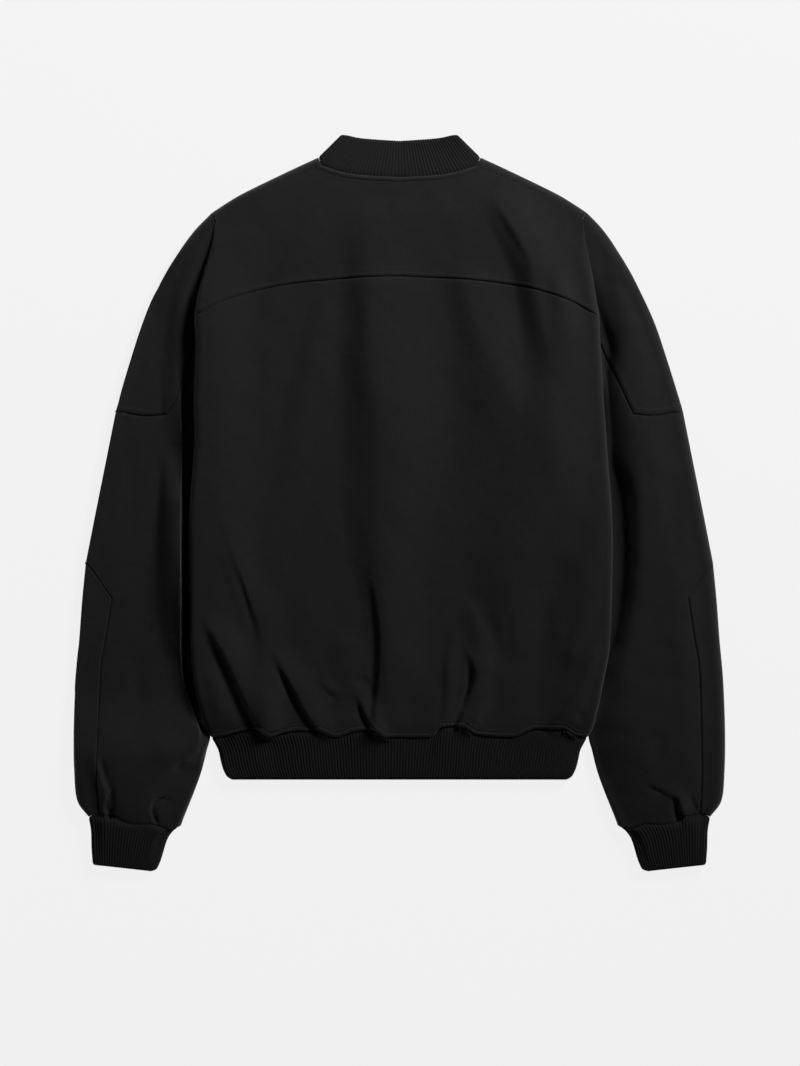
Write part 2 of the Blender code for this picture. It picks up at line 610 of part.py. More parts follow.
def make_forearm(side, finish):
    """The pointed panel round the outer edge of the forearm."""
    seam, outer_in = run(FOREARM, FOREARM_ROWS), run(ARM_LOWER_IN, FOREARM_ROWS)
    edge = at_height(run(ARM_LOWER, FOREARM_ROWS), SLEEVE_MID)
    edge[-3:, 2] = SLEEVE_MID - 0.5, SLEEVE_MID - 1, CUFF_OUTER_MID
    faces = []
    for turns in (TURN, UNDER_TURN):
        top = run(POINT[::-1], 1)
        bottom = np.array([seam[-1], outer_in[-1]])
        plan = fill(top, bottom, seam, outer_in)
        main = raised(plan, flat_under) if faces else raised(plan, sleeve_height, side)
        faces.append([main, turn(main[:, -1], edge, turns)])
    sew("forearm_panel_", *faces, side, finish)


def banded(top, bottom, left, right, upper, lower):
    """A ribbed band's grid, its height running from its top row's to its bottom row's."""
    down = np.linspace(0, 1, len(left))[:, None]
    return np.dstack([fill(top, bottom, left, right), upper * (1 - down) + lower * down])


def make_cuff(side, finish):
    """A ribbed tube, flat, below the sleeve's gathers."""
    inner, outer = run(CUFF_INNER, 3), run(CUFF_OUTER, 3)
    inner_mids = at_height(inner, np.linspace(SLEEVE["edge"][0], RIB_EDGE_MID, len(inner)))
    outer_mids = at_height(outer, np.linspace(CUFF_OUTER_MID, RIB_EDGE_MID, len(outer)))
    faces = []
    for columns in (7, 4):
        top = join(run(CUFF_SEAM[:-1], columns), np.array(CUFF_SEAM[-2:])) - (0, SEAM)
        ends = [inner[-1] + (RIB_FOLD, -0.4), outer[-1] - (RIB_FOLD, 0.4)]
        foot = run(ends, columns + 1)
        left, right = inner + (RIB_FOLD, 0), outer - (RIB_FOLD, 0)
        left[0], left[-1], right[0], right[-1] = top[0], foot[0], top[-1], foot[-1]
        if faces:
            main = raised(fill(top, foot, left, right), flat_under)
        else:
            heights = sleeve_height(top[:, 0], top[:, 1], side)
            main = banded(top, foot, left, right, heights, CUFF_EDGE_TOP)
        folds = [turn(main[:, 0], inner_mids, UNDER_TURN), turn(main[:, -1], outer_mids, UNDER_TURN)]
        faces.append([main] + folds)
    sew("cuff_", *faces, side, finish, RIB)


def make_hem(finish):
    """The waistband: one strip from the zip round the back to the zip."""
    side = run(HEM_SIDE, 3)
    side[0, 1] -= SEAM / 2
    top = hem_line() - (0, SEAM / 2)
    last = side[-1, 0] - RIB_FOLD
    foot = np.column_stack([np.linspace(-last, last, len(top)), np.full(len(top), HEM_FOOT)])
    inset = side - (RIB_FOLD, 0)
    inset[0], inset[-1] = top[-1], foot[-1]
    heights = back_height(top[:, 0], top[:, 1])
    main = banded(top, foot, mirrored(inset), inset, heights, HEM_EDGE_TOP)
    mids = at_height(side, np.linspace(BODY["edge"][0], RIB_EDGE_MID, len(side)))
    uppers = [main, turn(main[:, -1], mids, TURN), turn(main[:, 0], mirrored(mids), TURN)]
    inset[0, 1] = side[0, 1]
    ends = np.array([ZIP_EDGE, ZIP_FLAT, ZIP_RAMP, 95, 145])
    under_top = np.column_stack([np.append(ends, inset[0, 0]), np.full(6, side[0, 1])])
    under_foot = np.column_stack([np.append(ends, last), np.full(6, HEM_FOOT)])
    centre = run([under_top[0], under_foot[0]], 3)
    under = raised(fill(under_top, under_foot, centre, inset), front_rib_height)
    cloth("hem_rib", uppers, both_halves(under, mids), finish, RIB)


def both_halves(under, mids):
    """The two front ends of a ribbed strip, with the folds that join them to its back."""
    half = [under, turn(under[:, -1], mids, UNDER_TURN)]
    return half + [mirrored(grid) for grid in half]


def front_rib_height(x, y):
    """The ribs' undersides: flat but for the rise over the zip."""
    return zip_rise(x) + 0 * y


def make_collar(finish):
    """The stand collar: one strip from the zip round the neck to the zip, lying down."""
    neck, top = shift(run(NECK, NECK_COLUMNS), SEAM), run(COLLAR_TOP, NECK_COLUMNS)
    side = run(COLLAR_SIDE, 3) + (-0.1, SEAM)
    inset = run([neck[-1], top[-1]], 3)
    low, high = join(mirrored(neck[::-1]), neck), join(mirrored(top[::-1]), top)
    base = back_height(low[:, 0], low[:, 1])
    main = banded(low, high, mirrored(inset), inset, base, COLLAR_EDGE_TOP)
    mids = at_height(side, np.linspace(SHOULDER_MID, RIB_EDGE_MID, len(side)))
    uppers = [main, turn(main[:, -1], mids, TURN), turn(main[:, 0], mirrored(mids), TURN)]
    under_low, under_high = shift(np.array(FRONT_NECK), SEAM), np.array(FRONT_COLLAR_TOP)
    under_low[0], under_low[-1] = (ZIP_EDGE, FRONT_NECK[0][1] + SEAM), neck[-1]
    centre = run([under_low[0], under_high[0]], 3)
    under = raised(fill(under_low, under_high, centre, inset), front_rib_height)
    cloth("collar_rib", uppers, both_halves(under, mids), finish, RIB)


def box(name, x, y, z, finish):
    """A plain block between two places along each axis, as a mesh object."""
    shape = bmesh.new()
    bmesh.ops.create_cube(shape, size=1)
    for vert in shape.verts:
        vert.co = [(low + high) / 2 * MM + part * (high - low) * MM
                   for part, (low, high) in zip(vert.co, (x, y, z))]
    return placed(name, shape, finish)


def shaped(name, outline, low, high, finish):
    """A flat plate with this outline, seen from above, between two heights."""
    shape = bmesh.new()
    verts = [shape.verts.new((x * MM, y * MM, low * MM)) for x, y in outline]
    face = shape.faces.new(verts)
    raised_up = bmesh.ops.extrude_face_region(shape, geom=[face])["geom"]
    for part in raised_up:
        if isinstance(part, bmesh.types.BMVert):
            part.co.z = high * MM
    bmesh.ops.recalc_face_normals(shape, faces=shape.faces)
    return placed(name, shape, finish)


def join_on(whole, others, operation="UNION"):
    """Other shapes joined to a whole one, or cut from it; they stay as hidden helpers."""
    for other in others:
        other.hide_render = True
        other.display_type = "WIRE"
        step = whole.modifiers.new(other.name, "BOOLEAN")
        step.operation = operation
        step.object = other
        step.solver = "EXACT"


def rounded(half_wide, low, high, corner, steps=3):
    """Outline of a plate with rounded corners, half_wide to each side of the middle."""
    points = []
    for sign_x, sign_y, start in ((1, 1, 0), (-1, 1, 90), (-1, -1, 180), (1, -1, 270)):
        for i in range(steps + 1):
            angle = math.radians(start + 90 * i / steps)
            x = sign_x * (half_wide - corner) + corner * math.cos(angle)
            y = (high if sign_y > 0 else low) - sign_y * corner + corner * math.sin(angle)
            points.append((x, y))
    return points


def zip_levels():
    """Heights of the tapes' inner face, and of the slider's lower plate and bridge."""
    tape = ZIP_LIFT + CLOTH + TAPE_GAP
    plate_top = tape + TAPE_THICK / 2 - CHAIN_ROOM / 2
    return tape, plate_top, plate_top - PLATE - BRIDGE_ROOM


def make_tape(side, finish):
    """Half of the zip: it lies on the fronts' inner faces and parts round the slider."""
    head = FRONT_NECK[0][1]
    wide = SLIDER_Y - SLIDER_LONG / 6
    outline = [(TAPE_INNER, HEM_FOOT), (TAPE_OUTER, HEM_FOOT), (TAPE_OUTER, head),
               (TAPE_OPEN, head), (TAPE_OPEN, wide), (TAPE_INNER, wide - SLIDER_LONG / 2)]
    low = zip_levels()[0]
    outline = [(side * x, y) for x, y in outline]
    shaped("zip_tape_" + SIDES[side], outline, low, low + TAPE_THICK, finish)


def make_slider(finish):
    """Two plates joined by a post between the parted tapes, and a bridge for the pull tab."""
    foot, head = SLIDER_Y - SLIDER_LONG / 2, SLIDER_Y + SLIDER_LONG / 2
    outline = rounded(SLIDER_WIDE / 2, foot, head, SLIDER_CORNER)
    plate_top, bridge_top = zip_levels()[1:]
    upper = plate_top + CHAIN_ROOM
    slider = shaped("zip_slider", outline, plate_top - PLATE, plate_top, finish)
    inset = foot + BRIDGE_INSET, head - BRIDGE_INSET
    stand = bridge_top - BRIDGE_THICK, plate_top - PLATE_GRIP
    post_end = head - POST_INSET
    join_on(slider, [
        shaped("upper_plate", outline, upper, upper + PLATE, finish),
        box("post", POST, (post_end - POST_LONG, post_end),
            (plate_top - PLATE_GRIP, upper + PLATE_GRIP), finish),
        box("bridge_head", BRIDGE, (inset[1] - BRIDGE_POST, inset[1]), stand, finish),
        box("bridge_foot", BRIDGE, (inset[0], inset[0] + BRIDGE_POST), stand, finish),
        box("bridge_bar", BRIDGE, inset, (stand[0], bridge_top), finish),
    ])


def make_pull_tab(finish):
    """It hangs by a cross bar under the slider's bridge, and lies along the zip."""
    middle = zip_levels()[2] + BRIDGE_ROOM / 2
    low, high = middle - TAB_THICK / 2, middle + TAB_THICK / 2
    bar = SLIDER_Y - TAB_BAR / 2, SLIDER_Y + TAB_BAR / 2
    outline = rounded(TAB_WIDE / 2, SLIDER_Y - TAB_LONG, bar[1], TAB_CORNER)
    tab = shaped("zip_pull_tab", outline, low, high, finish)
    opening = (SLIDER_Y - TAB_REACH, bar[0])
    window = box("tab_window", TAB_WINDOW, opening, (low - TAB_THICK, high + TAB_THICK), finish)
    join_on(tab, [window], "DIFFERENCE")


def clear_scene():
    for thing in list(bpy.data.objects):
        bpy.data.objects.remove(thing, do_unlink=True)


def main():
    clear_scene()
    wool = material("black_cloth", (0.012, 0.012, 0.013), 0.9)
    knit = material("black_rib_knit", (0.010, 0.010, 0.011), 0.95)
    woven = material("zip_tape_black", (0.008, 0.008, 0.009), 0.8)
    metal = material("zip_metal_black", (0.03, 0.03, 0.032), 0.35, 1.0)
    make_yoke(wool)
    make_back(wool)
    for side in SIDES:
        make_front(side, wool)
        make_upper_sleeve(side, wool)
        make_lower_sleeve(side, wool)
        make_forearm(side, wool)
        make_cuff(side, knit)
        make_tape(side, woven)
    make_hem(knit)
    make_collar(knit)
    make_slider(metal)
    make_pull_tab(metal)


main()
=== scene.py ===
import math

import bmesh
import bpy
import numpy as np
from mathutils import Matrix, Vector


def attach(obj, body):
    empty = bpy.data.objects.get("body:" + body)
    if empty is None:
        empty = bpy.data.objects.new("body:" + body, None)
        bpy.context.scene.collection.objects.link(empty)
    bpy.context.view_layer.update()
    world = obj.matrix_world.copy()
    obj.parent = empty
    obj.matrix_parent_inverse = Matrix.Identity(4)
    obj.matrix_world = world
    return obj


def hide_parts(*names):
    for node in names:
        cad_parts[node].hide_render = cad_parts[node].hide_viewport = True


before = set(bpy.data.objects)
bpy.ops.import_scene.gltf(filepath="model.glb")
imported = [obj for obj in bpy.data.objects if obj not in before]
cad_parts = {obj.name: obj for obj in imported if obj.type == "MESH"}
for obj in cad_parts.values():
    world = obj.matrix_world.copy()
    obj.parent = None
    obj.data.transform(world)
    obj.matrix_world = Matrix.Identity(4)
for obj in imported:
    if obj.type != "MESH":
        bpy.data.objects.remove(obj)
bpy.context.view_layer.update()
mm = 0.001
sideNames = {-1: "left", 1: "right"}  # the wearer's, by the sign of x

# The jacket lies face down: x across the back, y up to the collar, z up from the floor.
# Sizes are metres in the stage and the finishes, and millimetres in all that follows them.


def nodeOf(tree, kind, values=None, **settings):
    node = tree.nodes.new(kind)
    for key, value in settings.items():
        setattr(node, key, value)
    for key, value in (values or {}).items():
        node.inputs[key].default_value = value
    return node


# A material with these unchanging values on its shader.
def madeOf(name, values):
    made = bpy.data.materials.new(name)
    made.use_nodes = True
    for key, value in values.items():
        made.node_tree.nodes["Principled BSDF"].inputs[key].default_value = value
    return made


stage = {
    "lens": 100.0, "sensor": 36.0,
    "viewTall": 1.1726,  # seen from top to bottom
    "viewMiddle": (0.0007, -0.0336),
    "viewLevel": 0.008,  # height at which that is true
    # each lamp's place, aim, size and power; the key aims past the jacket, to be even on it
    "key": ((1.65, 1.87, 1.8), (-2.3, 3.1, 0), 1.05, 158.0),
    "fill": ((-1.5, 0.3, 1.9), (0, 0, 0), 1.4, 0.8),
    "skyLevel": 0.05,
    "floorSize": 9.0, "floorLevel": -0.0004,
    "floorTone": 0.06, "floorGlow": 0.85, "floorRough": 0.9,
}


def softbox(name, place, aim, size, power):
    lamp = bpy.data.lights.new(name, "AREA")
    lamp.shape, lamp.size, lamp.energy = "SQUARE", size, power
    box = bpy.data.objects.new(name, lamp)
    box.location = place
    box.rotation_mode = "QUATERNION"
    box.rotation_quaternion = (Vector(aim) - box.location).to_track_quat("-Z", "Y")
    bpy.context.collection.objects.link(box)


def setStage():
    scene, white, tone = bpy.context.scene, (1, 1, 1, 1), stage["floorTone"]
    lens = bpy.data.cameras.new("camera")
    lens.lens, lens.sensor_fit, lens.sensor_width = stage["lens"], "AUTO", stage["sensor"]
    camera = bpy.data.objects.new("camera", lens)
    distance = stage["viewTall"] * stage["lens"] / stage["sensor"]
    camera.location = (*stage["viewMiddle"], stage["viewLevel"] + distance)
    bpy.context.collection.objects.link(camera)
    scene.camera = camera
    for lamp in ("key", "fill"):
        softbox(lamp + "Light", *stage[lamp])
    scene.world = bpy.data.worlds.new("studio")
    scene.world.use_nodes = True
    sky = scene.world.node_tree.nodes["Background"]
    sky.inputs["Color"].default_value = white
    sky.inputs["Strength"].default_value = stage["skyLevel"]
    scene.view_settings.view_transform = "Standard"
    bpy.ops.mesh.primitive_plane_add(size=stage["floorSize"],
                                     location=(0, 0, stage["floorLevel"]))
    floor = bpy.context.object
    floor.name = "floor"
    floor.data.materials.append(madeOf("paleFloor", {
        "Base Color": (tone, tone, tone, 1), "Roughness": stage["floorRough"],
        "Specular IOR Level": 0.0,
        "Emission Color": white, "Emission Strength": stage["floorGlow"]}))


setStage()
print("stage set")


# A texture laid by the source's places, in the source's own tree.
def texture(source, kind, values, **settings):
    node = nodeOf(source.id_data, kind, values, **settings)
    source.id_data.links.new(source, node.inputs["Vector"])
    return node.outputs["Fac"]


# Bands this far apart.
def waves(source, direction, period, distortion):
    turns = 10.0 if direction == "DIAGONAL" else 20.0
    return texture(source, "ShaderNodeTexWave", {
        "Scale": 2 * math.pi / (turns * period), "Distortion": distortion,
        "Detail": 2.0, "Detail Scale": 1.6}, bands_direction=direction)


def grain(source, size, detail, rough=0.55):
    return texture(source, "ShaderNodeTexNoise", {
        "Scale": 1 / size, "Detail": detail, "Roughness": rough})


def maths(operation, source, *values):
    node = nodeOf(source.id_data, "ShaderNodeMath", dict(enumerate(values, 1)),
                  operation=operation)
    source.id_data.links.new(source, node.inputs[0])
    return node


# The sum of the sources, each given with its weight.
def mixed(*parts):
    total = None
    for source, weight in parts:
        node = maths("MULTIPLY_ADD", source, weight, 0.0)
        if total:
            source.id_data.links.new(total, node.inputs[2])
        total = node.outputs[0]
    return total


# The material's tone, roughness and relief, each led by a texture.
def finished(made, look, tone, rough, relief):
    tree = made.node_tree
    shader = tree.nodes["Principled BSDF"].inputs
    ramp = nodeOf(tree, "ShaderNodeValToRGB")
    for end, place, shade in zip(ramp.color_ramp.elements, (0.3, 0.7), look["shades"]):
        end.position, end.color = place, (*shade, 1)
    spread = nodeOf(tree, "ShaderNodeMapRange", dict(zip(("To Min", "To Max"), look["rough"])))
    bump = nodeOf(tree, "ShaderNodeBump", dict(zip(("Distance", "Strength"), look["bump"])))
    for source, node, into, out, goal in (
            (tone, ramp, "Fac", "Color", "Base Color"),
            (rough, spread, "Value", "Result", "Roughness"),
            (relief, bump, "Height", "Normal", "Normal")):
        tree.links.new(source, node.inputs[into])
        tree.links.new(node.outputs[out], shader[goal])
    return made


def clothMapOf(made):
    return nodeOf(made.node_tree, "ShaderNodeUVMap", uv_map="cloth").outputs["UV"]


def objectMapOf(made):
    return nodeOf(made.node_tree, "ShaderNodeTexCoord").outputs["Object"]


# In each finish: the range of its tone and of its roughness, its relief's depth and strength.
clothFinish = {
    "shades": ((0.0068, 0.0068, 0.0073), (0.0112, 0.0112, 0.0117)),
    "rough": (0.84, 0.96),
    "bump": (0.00022, 0.7),
    "shine": {"Specular IOR Level": 0.22, "Sheen Weight": 0.22, "Sheen Roughness": 0.5,
              "Sheen Tint": (0.6, 0.6, 0.62, 1)},
    "yarn": 0.0011,  # from yarn to yarn
    "blotch": 0.045,  # sizes of the soft changes of tone
    "mottle": 0.012,
    "fuzz": 0.0009,
}


# Matt black wool-look twill, lightly brushed.
def brushedCloth():
    look = clothFinish
    made = madeOf("brushedCloth", look["shine"])
    place = clothMapOf(made)
    twill = waves(place, "DIAGONAL", look["yarn"] * 1.4, 1.2)
    weft = waves(place, "Y", look["yarn"], 0.8)
    fuzz = grain(place, look["fuzz"], 4.0, 0.65)
    blotch = grain(place, look["blotch"], 2.0)
    mottle = grain(place, look["mottle"], 3.0, 0.6)
    tone = mixed((blotch, 0.364), (mottle, 0.4095), (fuzz, 0.1365), (twill, 0.091))
    relief = mixed((twill, 0.5), (weft, 0.25), (fuzz, 0.6), (mottle, 4.2))
    return finished(made, look, tone, blotch, relief)


ribFinish = {
    "shades": ((0.0057, 0.0057, 0.0061), (0.0108, 0.0108, 0.0112)),
    "rough": (0.86, 0.97),
    "bump": (0.00035, 0.8),
    "shine": {"Specular IOR Level": 0.2, "Sheen Weight": 0.05, "Sheen Roughness": 0.55,
              "Sheen Tint": (0.6, 0.6, 0.62, 1)},
    "loop": 0.0017,  # from stitch to stitch down a rib
    "slant": 7.0,  # how far a loop leans, in turns of its own wave
    "fuzz": 0.004,
}


# Knit loops down each rib. Its map runs in ribs across and in metres down the band.
def ribKnit():
    look = ribFinish
    made = madeOf("ribKnit", look["shine"])
    place = clothMapOf(made)
    parts = nodeOf(made.node_tree, "ShaderNodeSeparateXYZ")
    made.node_tree.links.new(place, parts.inputs[0])
    rib = maths("PINGPONG", parts.outputs["X"], 0.5).outputs[0]
    phase = mixed((parts.outputs["Y"], 2 * math.pi / look["loop"]), (rib, look["slant"]))
    loops = maths("SINE", phase).outputs[0]
    fuzz = grain(place, look["fuzz"], 4.0, 0.7)
    return finished(made, look, mixed((loops, 0.14), (fuzz, 1.0)), fuzz,
                    mixed((loops, 0.5), (fuzz, 1.0)))


threadFinish = {
    "shades": ((0.0040, 0.0040, 0.0044), (0.0085, 0.0085, 0.0090)),
    "rough": (0.55, 0.75),
    "bump": (0.0001, 0.5),
    "ply": 0.0006,
}


def sewingThread():
    made = madeOf("sewingThread", {"Specular IOR Level": 0.35})
    ply = grain(objectMapOf(made), threadFinish["ply"], 2.0)
    return finished(made, threadFinish, ply, ply, ply)


tapeFinish = {
    "shades": ((0.0045, 0.0045, 0.005), (0.010, 0.010, 0.011)),
    "rough": (0.7, 0.85),
    "bump": (0.0002, 0.7),
    "cord": 0.0011, "pick": 0.00077,
}


def wovenTape():
    look = tapeFinish
    made = madeOf("wovenTape", {"Specular IOR Level": 0.3})
    place = objectMapOf(made)
    cords, picks = waves(place, "X", look["cord"], 0.4), waves(place, "Y", look["pick"], 0.4)
    weave = mixed((cords, 0.6), (picks, 0.4))
    return finished(made, look, weave, weave, weave)


metalFinish = {
    "shades": ((0.018, 0.018, 0.019), (0.045, 0.045, 0.047)),
    "rough": (0.28, 0.46),
    "bump": (0.00004, 0.5),
    "rub": 0.003, "speck": 0.0005,
}


# Satin black plating, faintly rubbed.
def blackMetal():
    look = metalFinish
    made = madeOf("blackMetal", {"Metallic": 1.0, "Coat Weight": 0.2})
    place = objectMapOf(made)
    rub, speck = grain(place, look["rub"], 4.0, 0.6), grain(place, look["speck"], 2.0)
    return finished(made, look, rub, rub, speck)


cloth, knit, thread = brushedCloth(), ribKnit(), sewingThread()
tape, metal = wovenTape(), blackMetal()
print("materials made")


def table(names, *rows):
    return dict(zip(names.split(), np.array(rows, float).T))


form = {
    "seam": 0.12,  # gap between two sewn pieces
    "fold": 9.5,  # how far in from its side the body's fold starts to turn
    "squareFold": 0.78,  # below 1, that turn is fuller than a round one
    "foldFade": 48.0,  # length below the shoulder where that fold runs out
    "shoulderMid": 9.5,  # heights at which the upper and the lower cloth meet
    "sleeveMid": 10.5,
    "cuffOuterMid": 8.5,
    "ribEdgeMid": 6.5,
    "sleeveFold": 11.0,  # how far in from its edge each of the others starts to turn
    "underarmFold": 6.0,
    "ribFold": 6.0,
    "underarm": 40.0,  # up the back, where the sleeve's two armhole seams meet
    "underClimb": 15.0,
    "armStart": 311.0,
    "slantTop": 173.0,  # where the upper sleeve's slanted seam leaves the armhole
    "hemFoot": -304.7,
    "hemEdgeTop": 13.0,
    "collarEdgeTop": 13.5,
    "cuffEdgeTop": 13.0,
    "neckLong": 86.0,  # lengths of the lines at which several pieces meet
    "shoulderLong": 131.0,
    "zipLift": 4.2,
    "zipEdge": 5.5,
    "zipFlat": 14.0,
    "zipRamp": 40.0,
    "shoulderCrown": 19.5,
    "crownFall": 6.5,
    "crownReach": 40.0,
    "sleeveWide": 85.0,
    "crownFrom": 60.0,
    "liftRamp": (160, 192),
    "leastHigh": 3.0,
    "barrel": 2.4,
    "swayOut": (60, 200),  # over these spans the cloth takes up the body's sway, and loses it
    "swayGone": (235, 290),
}

# How far the back's middle lies below its solid's top and its left side above that, fading
# over these spans across and up the back.
backSlack = {"by": 6.5, "out": (150, 205), "from": (-262, -215), "to": (200, 345)}
leftLift = {"by": 5.0, "across": (-205, -105), "from": (-130, 0), "to": (210, 280)}

# The body: half its width, heights of its middle, side and fold's edge, and how far the
# sleeve below lifts its underside.
bodyShape = table(
    "up half middle side edge lift",
    (-258, 207, 22, 15, 7.5, 1), (-248, 212.8, 25.5, 19.5, 11, 4.5),
    (-236, 215.7, 28.5, 25, 17.5, 11.8), (-214, 221, 31, 29.5, 21, 12.3),
    (-151, 229.9, 32.5, 32, 22.5, 12.3), (-41, 232.2, 34, 33, 22.5, 12.3),
    (-18, 231.8, 34, 33, 19.5, 11.5), (3, 231, 34, 33, 14.5, 7), (40, 228.2, 34, 33, 8.5, 0),
    (69, 226.3, 34, 33, 10.5, 0), (113, 225, 34, 33, 11.5, 0), (184, 222, 34, 32, 12.5, 0),
    (203, 222.3, 34, 31, 13, 0), (220, 220, 33.8, 30, 14, 0), (254, 212.7, 33.2, 27.5, 17, 0),
    (284, 205, 32.2, 24, 19.5, 0), (311, 200.6, 30.5, 19.5, 19.5, 0),
    (333, 184, 27.5, 18.5, 18.5, 0), (355, 141, 25, 18, 18, 0), (380, 90, 21, 17, 17, 0),
)

# A sleeve up to the underarm: its inner edge, and the heights of its crown and that edge.
sleeveShape = table(
    "up inner crown edge",
    (-358, 241, 17.5, 7), (-349, 238, 19.5, 7.5), (-338, 233.6, 22, 8), (-316, 224.8, 25, 8.5),
    (-294, 217.1, 27, 8.5), (-272, 211.6, 28, 8), (-257, 208, 28, 7), (-240, 214.8, 28, 6),
    (-232, 216, 28, 5.5), (-222, 213, 28, 5.5), (-200, 203, 28, 5.5), (-150, 197, 28.5, 5.5),
    (-80, 202, 29, 5.5), (-50, 213, 29, 5.5), (-30, 224.5, 29, 6), (-12, 229.3, 29, 6.5),
    (3, 229.8, 29, 7), (20, 229, 29, 7.5), (40, 228.5, 29, 8.5),
)

# How each sleeve climbs from the body: from where, over what width, and from what height.
climbs = {
    -1: table(
        "up foot wide low",
        (-358, 252, 38, 14), (-338, 247, 40, 16), (-316, 240, 44, 16), (-294, 224, 40, 14),
        (-280, 211, 28, 17), (-268, 209, 14, 14), (-257, 211, 11, 10), (-240, 217, 10, 8),
        (-222, 224, 10, 7), (-206, 229, 10, 7), (-186, 233, 10, 7), (-151, 235, 10, 7),
        (-96, 235, 10, 7), (-41, 235, 10, 7), (14, 235, 10, 7), (67, 235, 10, 8), (100, 235, 10, 8),
        (114, 234, 11, 8), (138, 229, 18, 7), (169, 224, 22, 7), (200, 221, 24, 8),
        (223, 217, 24, 9), (254, 210, 26, 14), (284, 205, 24, 18), (311, 202, 24, 19),
    ),
    1: table(
        "up foot wide low",
        (-358, 252, 44, 14), (-338, 243, 52, 14), (-316, 232, 60, 12), (-294, 221, 64, 9),
        (-261, 208, 64, 7), (-240, 210, 50, 7), (-206, 220, 32, 7), (-175, 229, 22, 6),
        (-151, 236, 19, 6), (-96, 245, 21, 6), (-41, 248, 20, 6), (14, 244, 22, 6),
        (40, 234, 32, 6), (67, 227, 38, 6), (92, 225, 34, 7), (114, 225, 28, 7), (145, 230, 22, 8),
        (169, 233, 20, 8), (196, 226, 28, 9), (223, 217, 38, 12), (254, 208, 30, 18),
        (284, 204, 24, 19), (311, 202, 24, 19),
    ),
}

# The left sleeve's side stands steep beside the body: its slope is drawn in to this share
# of its width, and the cloth on both sides of it over this reach.
steepSide = {"share": 0.12, "reach": 15.0, "side": -1, "from": (-266, -245), "to": (106, 150)}

# How far the body lies over to one side, the wearer's right above 0.
sway = table(
    "up by",
    (-258, 0), (-225, -0.6), (-206, -0.8), (-151, 0.9), (-96, 1.2), (-41, 1.4), (14, 1.3),
    (67, 1.3), (114, -0.6), (169, -1.4), (223, -3), (254, -1.5), (311, 0),
)

# Where the back meets the waistband: it rides up at each gather.
gathers = table(
    "across up",
    (-207, -258), (-197, -258), (-176, -253), (-160, -249), (-142, -257), (-110, -251), (-90, -251),
    (-70, -258), (-45, -251), (-28, -250), (-14, -258), (34, -258), (47, -247), (66, -246),
    (86, -256), (125, -258), (150, -249), (178, -249), (190, -256), (197, -258), (207, -258),
)

# Seams and edges seen from above, on the wearer's right; the left mirrors them. A line
# named In is where the fold starts to turn towards the edge beside it.
neckLine = [(0, 356.4), (43, 359), (65, 363), (84.5, 369.5)]
shoulder = [(89.5, 379), (117.7, 366), (163.4, 344), (183.7, 333), (206, 318.5)]
shoulderIn = [neckLine[-1], (113.5, 357.4), (159.3, 335.4), (179.4, 324.5), (200.6, 311)]
yokeSeam = [(0, 246.6), (67, 243.6), (132, 236), (186, 220.8), (213, 207)]
yokeEnd = (222.3, 203)
frontNeck = [(5.5, 289), (14, 289.8), (40, 297), (60, 312), (76, 338), neckLine[-1]]
collarTop = [(0, 397.5), (40, 400.3), (57.5, 403.6)]
collarSide = [(89.5, 379), (76.5, 392), (63.5, 405.1)]
frontCollarTop = [(5.5, 331), (14, 332.5), (31, 341), (42, 358), (50, 380), collarTop[-1]]
upperCorner = (255.6, 96.5)
upperSeam = [upperCorner, (278.2, 94.5), (300.8, 98)]
armTop = [(206.3, 318.3), (223.9, 299.8), (239.8, 277.8), (259.6, 244.8), (279.4, 200.8),
          (294.3, 156.8), (308, 112.8), (311.8, 99.5)]
armTopIn = [(200.9, 310.8), (216.2, 291.5), (230.6, 271), (249.8, 239.6), (269.2, 196.6),
            (283.9, 153.6), (297.3, 110), upperSeam[-1]]
armMiddle = [(311.8, 99.45), (317.9, 68.8), (326.7, 24.8), (335.5, -19.3), (344.5, -65)]
armMiddleIn = [(300.8, 97.7), (307.2, 66), (316, 22), (324.6, -21.8), (333.8, -78)]
armLower = [(344.6, -65.4), (348.7, -107.3), (352, -151.3), (355.9, -195.3), (358, -250),
            (357.5, -294.3), (354.4, -327.3), (342, -345.5)]
armLowerIn = [(334, -78.3), (337.7, -110), (341, -152), (344.9, -196), (347, -250),
              (346.6, -294), (344.5, -325), (336.5, -343)]
forearmPoint = [(334, -78.3), (315.5, -104.5)]
forearmSeam = [forearmPoint[-1], (322.1, -145.8), (328.1, -184.3), (330.4, -255.8),
               (331.1, -304.2), (329.6, -341.5)]
cuffSeam = [(248.5, -357.3), (256, -357.5), (270, -352.5), (286, -353), (300, -351),
            (313, -344), forearmSeam[-1], (336.5, -343)]
cuffInner = [(242.5, -356.8), (249, -361.5), (255.6, -371.5), (262.2, -393), (267.5, -404.9)]
cuffOuter = [(342, -345.8), (339.4, -360), (338.8, -380), (337.5, -398.5)]
hemSide = [(207, -258), (199.5, -272), (197, -283), (194, -294), (189, -303.5)]

